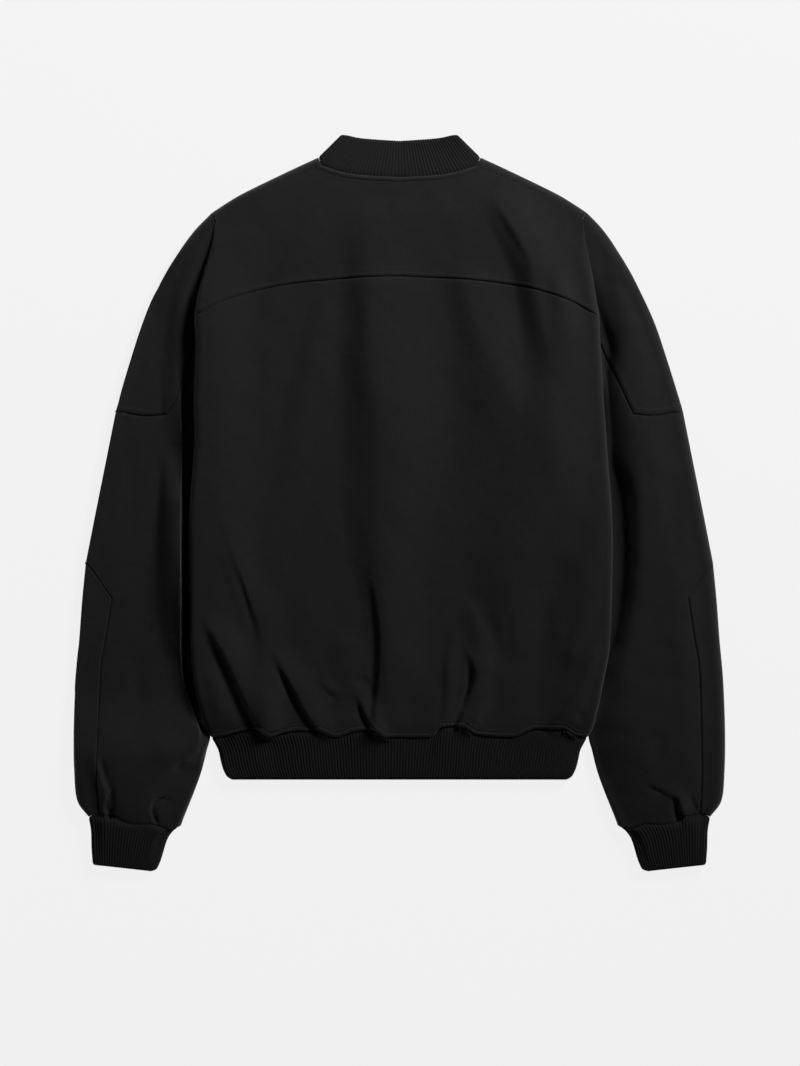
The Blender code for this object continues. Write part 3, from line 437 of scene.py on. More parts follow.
# Long folds of the back. Followed down, each rises to its left over the width wide, to
# high, and falls off again over the width fall: across, up, high, wide, fall.
longFolds = [
    [(-50, 330, 0, 30, 60), (-49, 290, 4, 30, 70), (-48, 258, 8, 32, 75), (-48, 238, 12, 34, 78),
     (-50, 169, 15, 38, 82), (-46, 114, 15, 42, 84), (-43, 67, 14, 50, 80), (-42, 14, 12, 48, 72),
     (-42, -36, 10, 38, 66), (-37, -74, 10, 32, 60), (-30, -110, 10, 26, 56),
     (-25, -146, 10, 24, 50), (-24, -180, 10, 22, 48), (-26, -208, 8, 18, 45),
     (-30, -236, 6, 14, 40), (-34, -254, 3, 10, 30)],
    [(60, 262, 1, 18, 40), (61, 238, 5.5, 24, 46), (73, 176, 9, 36, 52), (85, 114, 12, 60, 58),
     (98, 67, 13, 86, 62), (106, 14, 14, 98, 66), (98, -50, 12, 82, 66), (98, -90, 9.5, 54, 60),
     (104, -124, 7, 30, 50), (112, -150, 4, 22, 34), (118, -176, 0, 18, 24)],
    [(92, 338, 0, 18, 40), (102, 318, 6, 22, 46), (112, 298, 10.5, 24, 50),
     (128, 266, 12.5, 26, 50), (137, 240, 13, 26, 48), (144, 200, 13.5, 28, 48),
     (148, 165, 13.5, 32, 50), (148, 114, 12.5, 38, 50), (150, 67, 7, 38, 50), (150, 30, 2, 38, 50),
     (150, 10, 0, 38, 50)],
    [(164, 262, 0, 16, 26), (171, 225, 6.5, 20, 24), (173, 190, 4, 20, 26), (176, 165, 0, 20, 28)],
    [(211, 50, 0, 14, 20), (209, 10, 3, 20, 18), (204, -25, 4.5, 28, 20), (197, -69, 5, 36, 24),
     (182, -124, 4.5, 38, 36), (172, -160, 2.5, 30, 36), (168, -180, 0, 26, 30)],
    [(213, -150, 1, 12, 18), (200, -177, 5.5, 17, 22), (182, -206, 7, 20, 30),
     (168, -230, 5.5, 20, 32), (160, -250, 1.5, 18, 26)],
    [(-219, -124, 0, 9, 20), (-206, -150, 5, 14, 32), (-190, -179, 8, 18, 38),
     (-177, -206, 9, 20, 40), (-164, -234, 9, 20, 40), (-151, -258, 6, 14, 28)],
    [(-200, -15, 0, 9, 20), (-184, -60, 2.5, 9, 26), (-168, -107, 4.5, 10, 32),
     (-157, -140, 4.5, 13, 34), (-157, -179, 4, 20, 32), (-155, -220, 4, 22, 28),
     (-152, -252, 3, 18, 22)],
    [(-141, -162, 0, 8, 18), (-129, -184, 5, 9, 28), (-116, -208, 7, 9, 32), (-101, -236, 7, 9, 32),
     (-87, -252, 4, 8, 22)],
    [(-50, -208, 0, 7, 16), (-41, -226, 5, 7, 22), (-34, -243, 6, 7, 20), (-21, -258, 4, 7, 12)],
    [(70, -158, 0, 8, 16), (81, -184, 6.5, 9, 22), (79, -206, 8, 9, 25), (69, -230, 7, 9, 24),
     (61, -250, 2, 8, 16)],
    [(72, -192, 0, 6, 9), (64, -226, 3, 6, 8), (61, -246, 2, 6, 8)],
    [(58, -130, 0, 9, 16), (50, -179, 3.4, 9, 16), (49, -217, 3.4, 8, 14), (46, -240, 1, 8, 12)],
    [(-86, 250, 0, 16, 30), (-98, 190, 2.5, 18, 36), (-112, 130, 3, 22, 38),
     (-124, 70, 2.5, 24, 40), (-132, 10, 1, 26, 40), (-134, -30, 0, 26, 40)],
    [(-91, 324, 0, 14, 30), (-110, 290, 2.6, 15, 34), (-126, 262, 2.6, 16, 34),
     (-150, 205, 1.4, 16, 30), (-168, 160, 0, 16, 30)],
    [(-204, -40, 0, 12, 22), (-188, -80, 1.8, 12, 24), (-176, -125, 1.2, 12, 20),
     (-172, -150, 0, 12, 20)],
    [(171, -105, 0, 9, 16), (166, -140, 2, 9, 16), (162, -170, 0, 9, 16)],
    [(190, -125, 0, 8, 14), (184, -165, 2, 9, 14), (178, -195, 0, 9, 14)],
    [(101, -208, 0, 7, 14), (86, -226, 3.2, 7, 14), (73, -243, 2, 7, 12)],
    [(-92, -192, 0, 6, 12), (-78, -207, 2.2, 6, 12), (-64, -219, 0, 6, 12)],
]

# Creases: the points that each runs through, half its width, its depth, how much steeper
# its left side is (followed down), and what share of its depth its end keeps.
backCreases = [
    ([(-214, -136), (-200, -162), (-186, -190), (-171, -224), (-157, -251)], 6, 5, 0.3, 1),
    ([(-180, -70), (-168, -104), (-158, -140)], 3.2, 1.6, 0.3, 0.4),
    ([(-133, -180), (-121, -202), (-104, -234), (-90, -252)], 3.6, 5, 0.3, 1),
    ([(-45, -222), (-38, -238), (-24, -256)], 3.2, 5, 0.2, 1),
    ([(-36, -78), (-29, -110), (-25, -150), (-26, -190), (-31, -238)], 4.6, 3.6, 0.3, 0.9),
    ([(78, -178), (77, -200), (66, -234), (60, -250)], 3.6, 4.6, 0.2, 1),
    ([(-39, -190), (-38, -206)], 8, 2.4, 0, 0.2),
    ([(207, -166), (192, -196), (170, -232), (160, -250)], 7, 2.4, 0.2, 0.2),
    ([(197, -228), (202, -240)], 6, 1.4, 0, 0.3),
    ([(100, 326), (116, 300), (140, 260)], 6, 1.8, 0.2, 0.5),
    ([(-24, 334), (20, 335)], 7, 1.1, 0, 0), ([(-47, 230), (-49, 150)], 9, 1.2, 0, 0.2),
    ([(118, -118), (119, -160)], 5, 1.6, 0, 0.2),
]

# Low swells: the points that each runs along, half its width and its height.
backSwells = [
    ([(82, -122), (88, -150), (98, -178)], 11, 3.4), ([(-60, -160), (-56, -200)], 14, 2),
    ([(-100, -110), (-92, -170)], 16, 1.2), ([(20, -180), (30, -235)], 20, 1.6),
    ([(-130, -196), (-138, -230)], 12, 1.6), ([(130, -190), (128, -235)], 20, 1.6),
    ([(-205, -190), (-196, -225)], 9, 2), ([(-60, 320), (60, 318)], 26, 0.8),
    ([(0, 120), (6, -60)], 30, 0.8),
]

# The same for each sleeve, where across is measured outwards; a fold that is listed from
# its foot up rises towards the body instead.
sleeveFolds = {
    -1: [
        [(228, -232, 0, 18, 60), (234, -206, 9, 24, 60), (240, -184, 14, 29, 60),
         (246, -151, 22, 35, 60), (253, -100, 25, 34, 60), (256, -60, 22, 24, 60),
         (257, -30, 19, 20, 60), (257, 4, 16, 18, 60), (258, 28, 8, 14, 60), (260, 60, 0, 10, 60)],
        [(256, 62, 0, 14, 60), (254, 92, 6, 15, 60), (255, 115, 8, 16, 60), (254, 138, 7, 20, 60),
         (251, 165, 6.5, 22, 60), (247, 195, 6, 22, 60), (242, 223, 5.5, 20, 60),
         (233, 255, 3, 16, 60), (224, 285, 0, 14, 60)],
        [(330, -262, 0, 8, 12), (325, -290, 4, 8, 14), (317, -318, 5, 8, 12),
         (318, -340, 3, 8, 10)],
        [(262, -246, 0, 26, 22), (246, -262, 3, 26, 22), (236, -276, 0, 22, 20)],
    ],
    1: [
        [(282, -312, 0, 14, 22), (290, -322, 2.2, 13, 20), (303, -335, 3.4, 12, 16),
         (310, -346, 2, 10, 12)],
        [(222, 292, 0, 14, 26), (230, 250, 3, 16, 26), (243, 205, 4, 18, 28), (256, 152, 3, 20, 28),
         (262, 104, 0, 18, 28)],
        [(300, -10, 0, 30, 20), (298, -110, 1.5, 40, 20), (292, -200, 0, 40, 20)],
    ],
}

# How much lower than its solid each sleeve lies, how much lower still at its outer edge,
# and how far its crown falls off there.
sleeveLie = {
    "low": {-1: 15.5, 1: 0.0},
    "tilt": {-1: 1.5, 1: 0.0},
    "fall": {-1: 1.0, 1: 6.5},
    "round": {-1: 1.0, 1: 2.2},  # above 1, it rises fast from the body and then slowly
    "ease": 0.06,  # and over this first share of its width, slowly too
    "from": (-285, -205),
    "to": (165, 285),
}

sleeveCreases = {
    -1: [
        ([(330, -272), (324, -296), (315, -322), (316, -338)], 4, 3.4, -0.2, 0.9),
        ([(316, -318), (321, -334), (316, -349)], 3.2, 5.5, 0, 1),
        ([(249, -327), (262, -325), (271, -335), (268, -350)], 3.4, 3.6, 0.2, 1),
        ([(290, 60), (297, 0), (296, -60)], 12, 1.4, 0, 0),
        ([(290, -150), (286, -220), (292, -285)], 13, 1.4, 0, 0),
        ([(236, -282), (246, -296)], 6, 1.6, 0, 0), ([(272, 235), (266, 190)], 8, 1.2, 0, 0),
        ([(300, -226), (306, -258)], 9, 1.2, 0, 0),
    ],
    1: [
        ([(268, -309), (280, -314), (292, -320), (302, -325)], 3.6, 2.2, 0.3, 1),
        ([(301, -322), (304, -335), (309, -351)], 4.2, 7, 0, 1),
        ([(292, 40), (300, -30), (298, -90)], 13, 1.4, 0, 0),
        ([(318, -320), (326, -338)], 3, 1.6, 0, 0.6), ([(300, -160), (296, -230)], 12, 1.2, 0, 0),
        ([(280, -250), (290, -290)], 10, 1.2, 0, 0), ([(285, 170), (292, 130)], 9, 1.2, 0, 0),
    ],
}


def eased(part):
    return part * part * (3 - 2 * part)


def smooth(value, low, high):
    return eased(np.clip((np.asarray(value, float) - low) / (high - low), 0, 1))


# From 0 to 1 over one span, and back to 0 over another.
def between(value, rise, fall):
    return smooth(value, *rise) * (1 - smooth(value, *fall))


# A column at any place along the table's first one, smooth and with no overshoot.
def column(rows, key, at):
    places, values = next(iter(rows.values())), rows[key]
    steps = np.diff(places)
    slopes = np.diff(values) / steps
    before, after = slopes[:-1], slopes[1:]
    agree = before * after > 0
    inner = np.where(agree, 2 * before * after / np.where(agree, before + after, 1), 0)
    tangents = np.concatenate([slopes[:1], inner, slopes[-1:]])
    at = np.clip(np.asarray(at, float), places[0], places[-1])
    row = np.clip(np.searchsorted(places, at) - 1, 0, len(steps) - 1)
    part = (at - places[row]) / steps[row]
    leave = part * (1 - part) ** 2 * tangents[row]
    arrive = part * part * (1 - part) * tangents[row + 1]
    step = eased(part) * (values[row + 1] - values[row])
    return values[row] + step + steps[row] * (leave - arrive)


# A smooth line through the points, in short steps.
def curve(points, steps=24):
    points = np.array(points, float)
    if len(points) == 2:
        return np.linspace(*points, steps + 1)
    ways = np.gradient(points, axis=0)
    line = [points[:1]]
    part = np.linspace(0, 1, steps + 1)[1:, None]
    for i, (start, end) in enumerate(zip(points, points[1:])):
        pull = part * (1 - part)
        spot = start + (end - start) * eased(part)
        line.append(spot + pull * (1 - part) * ways[i] - pull * part * ways[i + 1])
    return np.vstack(line)


def lengthsOf(line):
    return np.append(0, np.cumsum(np.linalg.norm(np.diff(line, axis=0), axis=1)))


def sharesOf(line):
    return lengthsOf(line) / lengthsOf(line)[-1]


# Points at these shares of the line's length.
def spaced(line, shares):
    return np.column_stack([np.interp(shares, sharesOf(line), values) for values in line.T])


def joined(*lines):
    return np.vstack([lines[0]] + [line[1:] for line in lines[1:]])


# A line from the middle outwards, carried on to the other side.
def bothWays(line):
    return joined(line[::-1] * (-1, 1), line)


def unit(ways):
    return ways / np.maximum(np.linalg.norm(ways, axis=-1, keepdims=True), 1e-9)


# The line moved sideways: to its left for a positive distance.
def shifted(line, distance):
    way = unit(np.gradient(line, axis=0))
    return line + distance * np.column_stack([-way[:, 1], way[:, 0]])


# Distance from the line, positive to its left, and the share of its length there.
def nearest(x, y, line):
    lengths = lengthsOf(line)
    flatX, flatY = np.ravel(x), np.ravel(y)
    best = np.full(flatX.shape, 1e9)
    side, share = np.ones(flatX.shape), np.zeros(flatX.shape)
    for start, way, before, long in zip(line, np.diff(line, axis=0), lengths, np.diff(lengths)):
        if long < 1e-6:
            continue
        fromX, fromY = flatX - start[0], flatY - start[1]
        part = np.clip((fromX * way[0] + fromY * way[1]) / long ** 2, 0, 1)
        away = np.hypot(fromX - part * way[0], fromY - part * way[1])
        closer = away < best
        best = np.where(closer, away, best)
        side = np.where(closer, np.where(way[0] * fromY - way[1] * fromX >= 0, 1.0, -1.0), side)
        share = np.where(closer, (before + part * long) / lengths[-1], share)
    return (best * side).reshape(np.shape(x)), share.reshape(np.shape(x))


# Which of the places lie within reach of the line, with how far off and how far along.
def besideLine(x, y, line, reach):
    low, high = line.min(axis=0) - reach, line.max(axis=0) + reach
    near = (x > low[0]) & (x < high[0]) & (y > low[1]) & (y < high[1])
    return near, *nearest(x[near], y[near], line)


# A crease grows and fades over these shares of its length, and has a lip on both sides; a
# long fold reaches so far at most, and dies away so far past its ends. The steps are the
# lines' own, from point to point.
folding = {"grow": (-0.06, 0.35), "fade": (0.55, 1.0), "lips": (0.9, 0.2), "steps": 6,
           "reach": 100, "past": 30, "longSteps": 8}


# How far the creases lower the cloth: each a trough with a low lip on its steeper side.
def sunkBy(x, y, creases):
    total = np.zeros(np.shape(x))
    for points, half, deep, lean, keep in creases:
        near, away, share = besideLine(x, y, curve(points, folding["steps"]), 4 * half)
        across = (away / (half * np.where(away > 0, 1 - lean, 1 + lean))) ** 2
        taper = smooth(share, *folding["grow"]) * (1 - (1 - keep) * smooth(share, *folding["fade"]))
        trough = (1 - np.where(away > 0, *folding["lips"]) * across) * np.exp(-across)
        total[near] += deep * taper * trough
    return total


# How far the long folds lift the cloth: steep on one side and long on the other.
def foldedBy(x, y, folds):
    total = np.zeros(np.shape(x))
    for points in folds:
        rows = np.array(points, float)
        line = curve(rows[:, :2], folding["longSteps"])
        marks = sharesOf(line)[::folding["longSteps"]]
        near, away, share = besideLine(x, y, line, folding["reach"])
        high, wide, fall = (np.interp(share, marks, values) for values in rows.T[2:])
        over = np.minimum(*(np.hypot(x[near] - end[0], y[near] - end[1]) for end in rows[[0, -1]]))
        past = ((share <= 0) | (share >= 1)) * smooth(over, 0, folding["past"])
        climb = smooth(away, -wide / 2, wide / 2)
        total[near] += high * climb * (1 - smooth(away, wide / 2, wide / 2 + fall)) * (1 - past)
    return total


def swollenBy(x, y, swells):
    total = np.zeros(np.shape(x))
    for points, half, high in swells:
        near, away = besideLine(x, y, curve(points, folding["steps"]), 3 * half)[:2]
        total[near] += high * np.exp(-(away / half) ** 2)
    return total


# Uneven waves of the cloth, about 1 high at most.
def ripple(x, y, sizes, seed, each=5, spread=(0.75, 1.35)):
    chance = np.random.default_rng(seed)
    total = np.zeros(np.shape(x))
    for size in np.repeat(sizes, each):
        angle, start = chance.uniform(0, 2 * math.pi, 2)
        long = size * chance.uniform(*spread)
        total += np.sin((x * math.cos(angle) + y * math.sin(angle)) * 2 * math.pi / long + start)
    return total / math.sqrt(each * len(sizes))


def zipRise(x):
    return form["zipLift"] * (1 - smooth(np.abs(x), form["zipFlat"], form["zipRamp"]))


# The back with no crease in it, and how far its folds and creases raise or lower it.
def bodyPlain(x, y):
    out = np.clip(np.abs(x) / (column(bodyShape, "half", y) - form["fold"]), 0, 1)
    middle, side = column(bodyShape, "middle", y), column(bodyShape, "side", y)
    return side + (middle - side) * (1 - out ** form["barrel"])


def bodyFolds(x, y):
    slack, lift = backSlack, leftLift
    lower = slack["by"] * (1 - smooth(np.abs(x), *slack["out"]))
    lower = lower * between(y, slack["from"], slack["to"])
    higher = lift["by"] * (1 - smooth(x, *lift["across"])) * between(y, lift["from"], lift["to"])
    return foldedBy(x, y, longFolds) + swollenBy(x, y, backSwells) + higher - lower \
        - sunkBy(x, y, backCreases)


def bodyTop(x, y):
    return bodyPlain(x, y) + bodyFolds(x, y)


armLine = np.array(armTop + armMiddle + armLower)[::-1]


def sleeveTop(x, y, side):
    out, climb, power = np.abs(x), climbs[side], sleeveLie["round"][side]
    low = column(climb, "low", y)
    top = column(sleeveShape, "crown", y)
    crown = top - (top - form["shoulderCrown"]) * smooth(y, form["crownFrom"], form["armStart"])
    fromEdge = np.interp(y, armLine[:, 1], armLine[:, 0]) - form["sleeveFold"] - out
    lie = between(y, sleeveLie["from"], sleeveLie["to"])
    outwards = np.clip(1 - fromEdge / form["sleeveWide"], 0, 1)
    crown = crown - lie * (sleeveLie["low"][side] + sleeveLie["tilt"][side] * outwards)
    fall = form["crownFall"] + (sleeveLie["fall"][side] - form["crownFall"]) * lie
    fall = np.minimum(fall, crown - low) * (1 - smooth(fromEdge, 0, form["crownReach"]))
    part = np.clip((out - column(climb, "foot", y)) / column(climb, "wide", y), 0, 1)
    begun = part * part * (1 + sleeveLie["ease"]) / (part + sleeveLie["ease"])
    climbed = eased(part) if power == 1 else 1 - (1 - begun) ** power
    folds = foldedBy(out, y, sleeveFolds[side]) * climbed - sunkBy(out, y, sleeveCreases[side])
    return np.maximum(low + (crown - low - fall) * climbed + folds, form["leastHigh"])


# The same places with the steep side of a sleeve drawn in; x is measured outwards.
def drawnIn(x, y, side):
    if side != steepSide["side"]:
        return x
    half = column(climbs[side], "wide", y) / 2
    away = x - column(climbs[side], "foot", y) - half
    fade = 1 - smooth(np.abs(away), half, half + steepSide["reach"])
    fade = fade * between(y, steepSide["from"], steepSide["to"])
    return x - (1 - steepSide["share"]) * np.clip(away, -half, half) * fade


def underEdge(up):
    climb = smooth(up, form["underarm"], form["underarm"] + form["underClimb"])
    return column(bodyShape, "edge", up) * (1 - climb)


sewing = {
    "wall": 1.8,  # thickness of the cloth and its lining together
    "ribWall": 2.6,
    "step": 3.1,  # from point to point over open cloth
    "backStep": 1.95,  # and over the back, which is more creased: across,
    "backRows": 3.9,  # down,
    "hemRows": 2.2,  # and over the length hemFine, above the waistband
    "hemFine": 165.0,
    "sideStep": 0.85,  # across a sleeve, over the width sideFine where it stands steep
    "sideFine": 18.0,
    "steepAt": (0.07, 0.6),
    "underStep": 4.4,
    "frontStep": 5.0,  # along the shoulder and the neck of the fronts
    "frontNeckStep": 4.0,
    "neckStep": 2.4,
    # and where a seam is near, from the seam inwards
    "seamSteps": [0, 0.45, 1.0, 1.7, 2.6, 3.6, 4.5, 5.1, 5.7, 6.3, 7.0, 8.2, 10.0],
    "rollDeep": 1.9,  # how far the cloth's edge rolls down into a seam
    "rollWide": 1.25,
    "lapDeep": 0.7,  # and where it goes under its neighbour
    "dentDeep": 0.55,  # and dips along a line of stitches
    "dentWide": 0.9,
    "padHigh": 0.5,  # the seam allowance under it holds the strip up
    "padRise": 2.0,  # over these widths beside the seam and past the stitches
    "padFall": 2.5,
    "underPress": 0.45,  # share of that which shows on the underside
    "foldSteps": 9,
    "underFolds": 6,
    "stitchLong": 2.5,
    "stitchPitch": 3.2,
    "stitchThick": 0.62,
    "stitchFlat": 0.8,  # its height to its width
    "stitchNeck": 0.3,  # where along it, from its middle, it starts to thin
    "stitchEnd": 0.45,  # and to what share of its thickness
    "weld": 0.02,
    "crease": 55,  # degrees; cloth that bends more is shaded as an edge
}


def headAndTail(atStart, atEnd):
    near = np.array(sewing["seamSteps"])
    return near if atStart else near[:1], near if atEnd else near[:1]


# Places from 0 to 1 along this many millimetres, close together beside a seam.
def shares(long, atStart=False, atEnd=False, step=None, fineEnd=0.0, fineStep=1.0):
    step = step or sewing["step"]
    head, tail = headAndTail(atStart, atEnd)
    change = long - tail[-1] - fineEnd
    middle = np.linspace(head[-1], change, max(2, round((change - head[-1]) / step)))
    if fineEnd:
        fine = np.linspace(change, long - tail[-1], round(fineEnd / fineStep))
        middle = np.concatenate([middle, fine[1:]])
    return np.concatenate([head[:-1], middle, long - tail[:-1][::-1]]) / long


# The same across a sleeve, close together about the place middle on it as well.
def sideShares(long, middle, atStart, atEnd):
    head, tail = headAndTail(atStart, atEnd)
    fine = sewing["sideFine"] / 2
    marks = [head[-1], max(middle - fine, head[-1]), middle + fine, long - tail[-1]]
    steps = [sewing["step"], sewing["sideStep"], sewing["step"]]
    runs = [np.linspace(low, high, 1 + round((high - low) / step))
            for low, high, step in zip(marks, marks[1:], steps)]
    places = [head[:-1], runs[0][:-1], runs[1][:-1], runs[2], long - tail[:-1][::-1]]
    return np.concatenate(places) / long


# A grid of places between four lines: rows from top to bottom, columns left to right.
def fill(top, bottom, left, right):
    across, down = sharesOf(bottom)[None, :, None], sharesOf(right)[:, None, None]
    betweenSides = (1 - across) * left[:, None] + across * right[:, None]
    betweenEnds = (1 - down) * top[None] + down * bottom[None]
    corners = (1 - down) * ((1 - across) * top[0] + across * top[-1])
    corners = corners + down * ((1 - across) * bottom[0] + across * bottom[-1])
    return betweenSides + betweenEnds - corners


# The grid's rows spaced anew, so that the columns about middle follow a sleeve's steep side.
def crowded(plan, middle, side):
    climb = climbs[side]
    found = np.full(len(plan), np.nan)
    for i, row in enumerate(plan):
        steep = column(climb, "foot", row[:, 1]) + column(climb, "wide", row[:, 1]) / 2
        past = np.flatnonzero(row[:, 0] > steep)
        if len(past) and past[0] > 0:
            about = slice(past[0] - 1, past[0] + 1)
            found[i] = np.interp(0, (row[:, 0] - steep)[about], sharesOf(row)[about])
    rows, known = np.arange(len(plan)), ~np.isnan(found)
    found = np.clip(np.interp(rows, rows[known], found[known]), *sewing["steepAt"])
    return np.array([spaced(row, np.interp(sharesOf(row), [0, middle, 1], [0, at, 1]))
                     for row, at in zip(plan, found)])


# The grid with its heights, and its place on the cloth's own map beside them.
def raised(plan, height):
    return np.dstack([plan, height(plan[..., 0], plan[..., 1]), plan])


def atHeight(line, height):
    return np.column_stack([line, np.broadcast_to(height, len(line))])


# The grid that rounds off a fold, from its inset line to its edge line.
def turned(inset, edge, steps=sewing["foldSteps"], power=1.0):
    way = edge[:, :2] - inset[:, :2]
    columns = []
    for angle in np.linspace(0, math.pi / 2, steps + 1):
        flat = inset[:, :2] + way * math.sin(angle) ** power
        rise = edge[:, 2] + (inset[:, 2] - edge[:, 2]) * abs(math.cos(angle)) ** power
        columns.append(np.column_stack([flat, rise]))
    grid = np.stack(columns, axis=1)
    walked = np.cumsum(np.linalg.norm(np.diff(grid, axis=1), axis=2), axis=1)
    walked = np.hstack([np.zeros((len(grid), 1)), walked])[..., None]
    return np.dstack([grid, inset[:, None, 3:5] + walked * unit(way)[:, None]])


def mirrored(grid):
    return grid * np.array([-1, 1, 1, -1, 1])[: grid.shape[-1]]


def sideOf(grids, side):
    return grids if side > 0 else [mirrored(grid) for grid in grids]


# Places moved over with the body, as it lies.
def swayed(spots):
    part = between(np.abs(spots[:, 0]), form["swayOut"], form["swayGone"])
    spots[:, 0] += part * column(sway, "by", spots[:, 1])
    return spots


def linked(name, mesh, material):
    mesh.materials.append(material)
    piece = bpy.data.objects.new(name, mesh)
    bpy.context.collection.objects.link(piece)
    return piece


# One mesh over several grids, given as (grid, turned over or not), sewn where they meet.
def meshOf(name, grids, material):
    spots, quads, count = [], [], 0
    for grid, over in grids:
        at = np.arange(grid[..., 0].size).reshape(grid.shape[:2]) + count
        faces = np.stack([at[:-1, :-1], at[1:, :-1], at[1:, 1:], at[:-1, 1:]], axis=-1)
        faces = faces.reshape(-1, 4)
        quads.append(faces[:, ::-1] if over else faces)
        spots.append(grid.reshape(-1, grid.shape[-1]))
        count += len(spots[-1])
    spots, quads = swayed(np.vstack(spots)), np.vstack(quads)
    mesh = bpy.data.meshes.new(name)
    mesh.from_pydata(spots[:, :3] * mm, [], quads.tolist())
    clothMap = mesh.uv_layers.new(name="cloth")
    clothMap.data.foreach_set("uv", (spots[quads.ravel(), 3:5] * mm).ravel())
    shape = bmesh.new()
    shape.from_mesh(mesh)
    bmesh.ops.remove_doubles(shape, verts=shape.verts, dist=sewing["weld"] * mm)
    bmesh.ops.dissolve_degenerate(shape, edges=shape.edges, dist=sewing["weld"] * mm)
    shape.to_mesh(mesh)
    shape.free()
    return linked(name, mesh, material)


def onlyThis(piece):
    bpy.ops.object.select_all(action="DESELECT")
    piece.select_set(True)
    bpy.context.view_layer.objects.active = piece


# Wall the cloth inwards, and shade it.
def thickened(piece, wall):
    onlyThis(piece)
    step = piece.modifiers.new("wall", "SOLIDIFY")
    step.thickness, step.offset, step.use_even_offset = wall * mm, -1, False
    bpy.ops.object.modifier_apply(modifier="wall")
    spots = np.empty(len(piece.data.vertices) * 3)
    piece.data.vertices.foreach_get("co", spots)
    spots[2::3] = np.maximum(spots[2::3], 0)
    piece.data.vertices.foreach_set("co", spots)
    bpy.ops.object.shade_smooth_by_angle(angle=math.radians(sewing["crease"]))
    return piece


def isTurned(grid, facing):
    along = grid[0, -1] - grid[0, 0] + grid[-1, -1] - grid[-1, 0]
    down = grid[-1, 0] - grid[0, 0] + grid[-1, -1] - grid[0, -1]
    return (along[1] * down[0] - along[0] * down[1]) * facing < 0


# The cut, a piece's flat width and length in metres and its area in square metres, is not used.
def declared(piece, node):
    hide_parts(node)
    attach(piece, "jacket")
    print(piece.name, len(piece.data.polygons), "faces")


# A piece of cloth from the grids of its upper and its lower face.
def sewn(name, uppers, unders, node, cut, restsOn=("floor",)):
    grids = [(grid, isTurned(grid, 1)) for grid in uppers]
    grids += [(grid, isTurned(grid, -1)) for grid in unders]
    piece = thickened(meshOf(name, grids, cloth), sewing["wall"])
    declared(piece, node)


# What the seams add to the cloth's height. Each seam is a line and the places of its
# rows of stitches, in millimetres in from it.
def seamRelief(x, y, seams, press=1.0):
    total = np.zeros(np.shape(x))
    for line, rows in seams:
        away = np.abs(nearest(x, y, line)[0])
        # a piece with stitches on it laps over its neighbour, so only its own edge rolls
        roll = sewing["rollDeep"] if rows else sewing["lapDeep"]
        total -= roll * np.exp(-(away / sewing["rollWide"]) ** 2)
        for row in rows:
            total -= press * sewing["dentDeep"] * np.exp(-((away - row) / sewing["dentWide"]) ** 2)
        if rows:
            pad = between(away, (0, sewing["padRise"]), (max(rows), max(rows) + sewing["padFall"]))
            total += press * sewing["padHigh"] * pad
    return total


# One stitch, made once: a short thread, thinner at its ends.
def stitchShape():
    bpy.ops.object.select_all(action="DESELECT")
    bpy.ops.mesh.primitive_cylinder_add(vertices=6, radius=0.5, depth=1, end_fill_type="TRIFAN",
                                        rotation=(0, math.pi / 2, 0))
    one = bpy.context.object
    bpy.ops.object.transform_apply(location=True, rotation=True, scale=True)
    onlyThis(one)
    bpy.ops.object.mode_set(mode="EDIT")
    for cut in (-sewing["stitchNeck"], sewing["stitchNeck"]):
        bpy.ops.mesh.select_all(action="SELECT")
        bpy.ops.mesh.bisect(plane_co=(cut, 0, 0), plane_no=(1, 0, 0))
    bpy.ops.object.mode_set(mode="OBJECT")
    spots = np.array([vert.co for vert in one.data.vertices])
    faces = [list(face.vertices) for face in one.data.polygons]
    spots[np.abs(spots[:, 0]) > (0.5 + sewing["stitchNeck"]) / 2, 1:] *= sewing["stitchEnd"]
    bpy.data.objects.remove(one, do_unlink=True)
    return spots, faces


stitchSpots, stitchFaces = stitchShape()


# A row of stitches along a line on the cloth, whose height there is known.
def stitchedLine(name, line, height, side=None):
    thick, long = sewing["stitchThick"], lengthsOf(line)[-1]
    count = int(long / sewing["stitchPitch"])
    middles = (np.arange(count) + 0.5) / count
    half = sewing["stitchLong"] / 2 / long
    starts, ends = (spaced(line, middles + reach) for reach in (-half, half))
    starts, ends = (np.column_stack([spots, height(*spots.T)]) for spots in (starts, ends))
    if side:
        for spots in (starts, ends):
            spots[:, 0] = side * drawnIn(np.abs(spots[:, 0]), spots[:, 1], side)
    spots, faces = [], []
    for start, end in zip(starts, ends):
        way = unit(end - start)
        across = unit(np.cross((0, 0, 1), way))
        rise = np.cross(way, across)
        base = len(spots) * len(stitchSpots)
        spots.append((start + end) / 2
                     + stitchSpots[:, :1] * (end - start) + stitchSpots[:, 1:2] * across * thick
                     + stitchSpots[:, 2:] * rise * thick * sewing["stitchFlat"])
        faces += [[corner + base for corner in face] for face in stitchFaces]
    mesh = bpy.data.meshes.new(name)
    mesh.from_pydata(swayed(np.vstack(spots)) * mm, [], faces)
    mesh.shade_smooth()
    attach(linked(name, mesh, thread), "jacket")


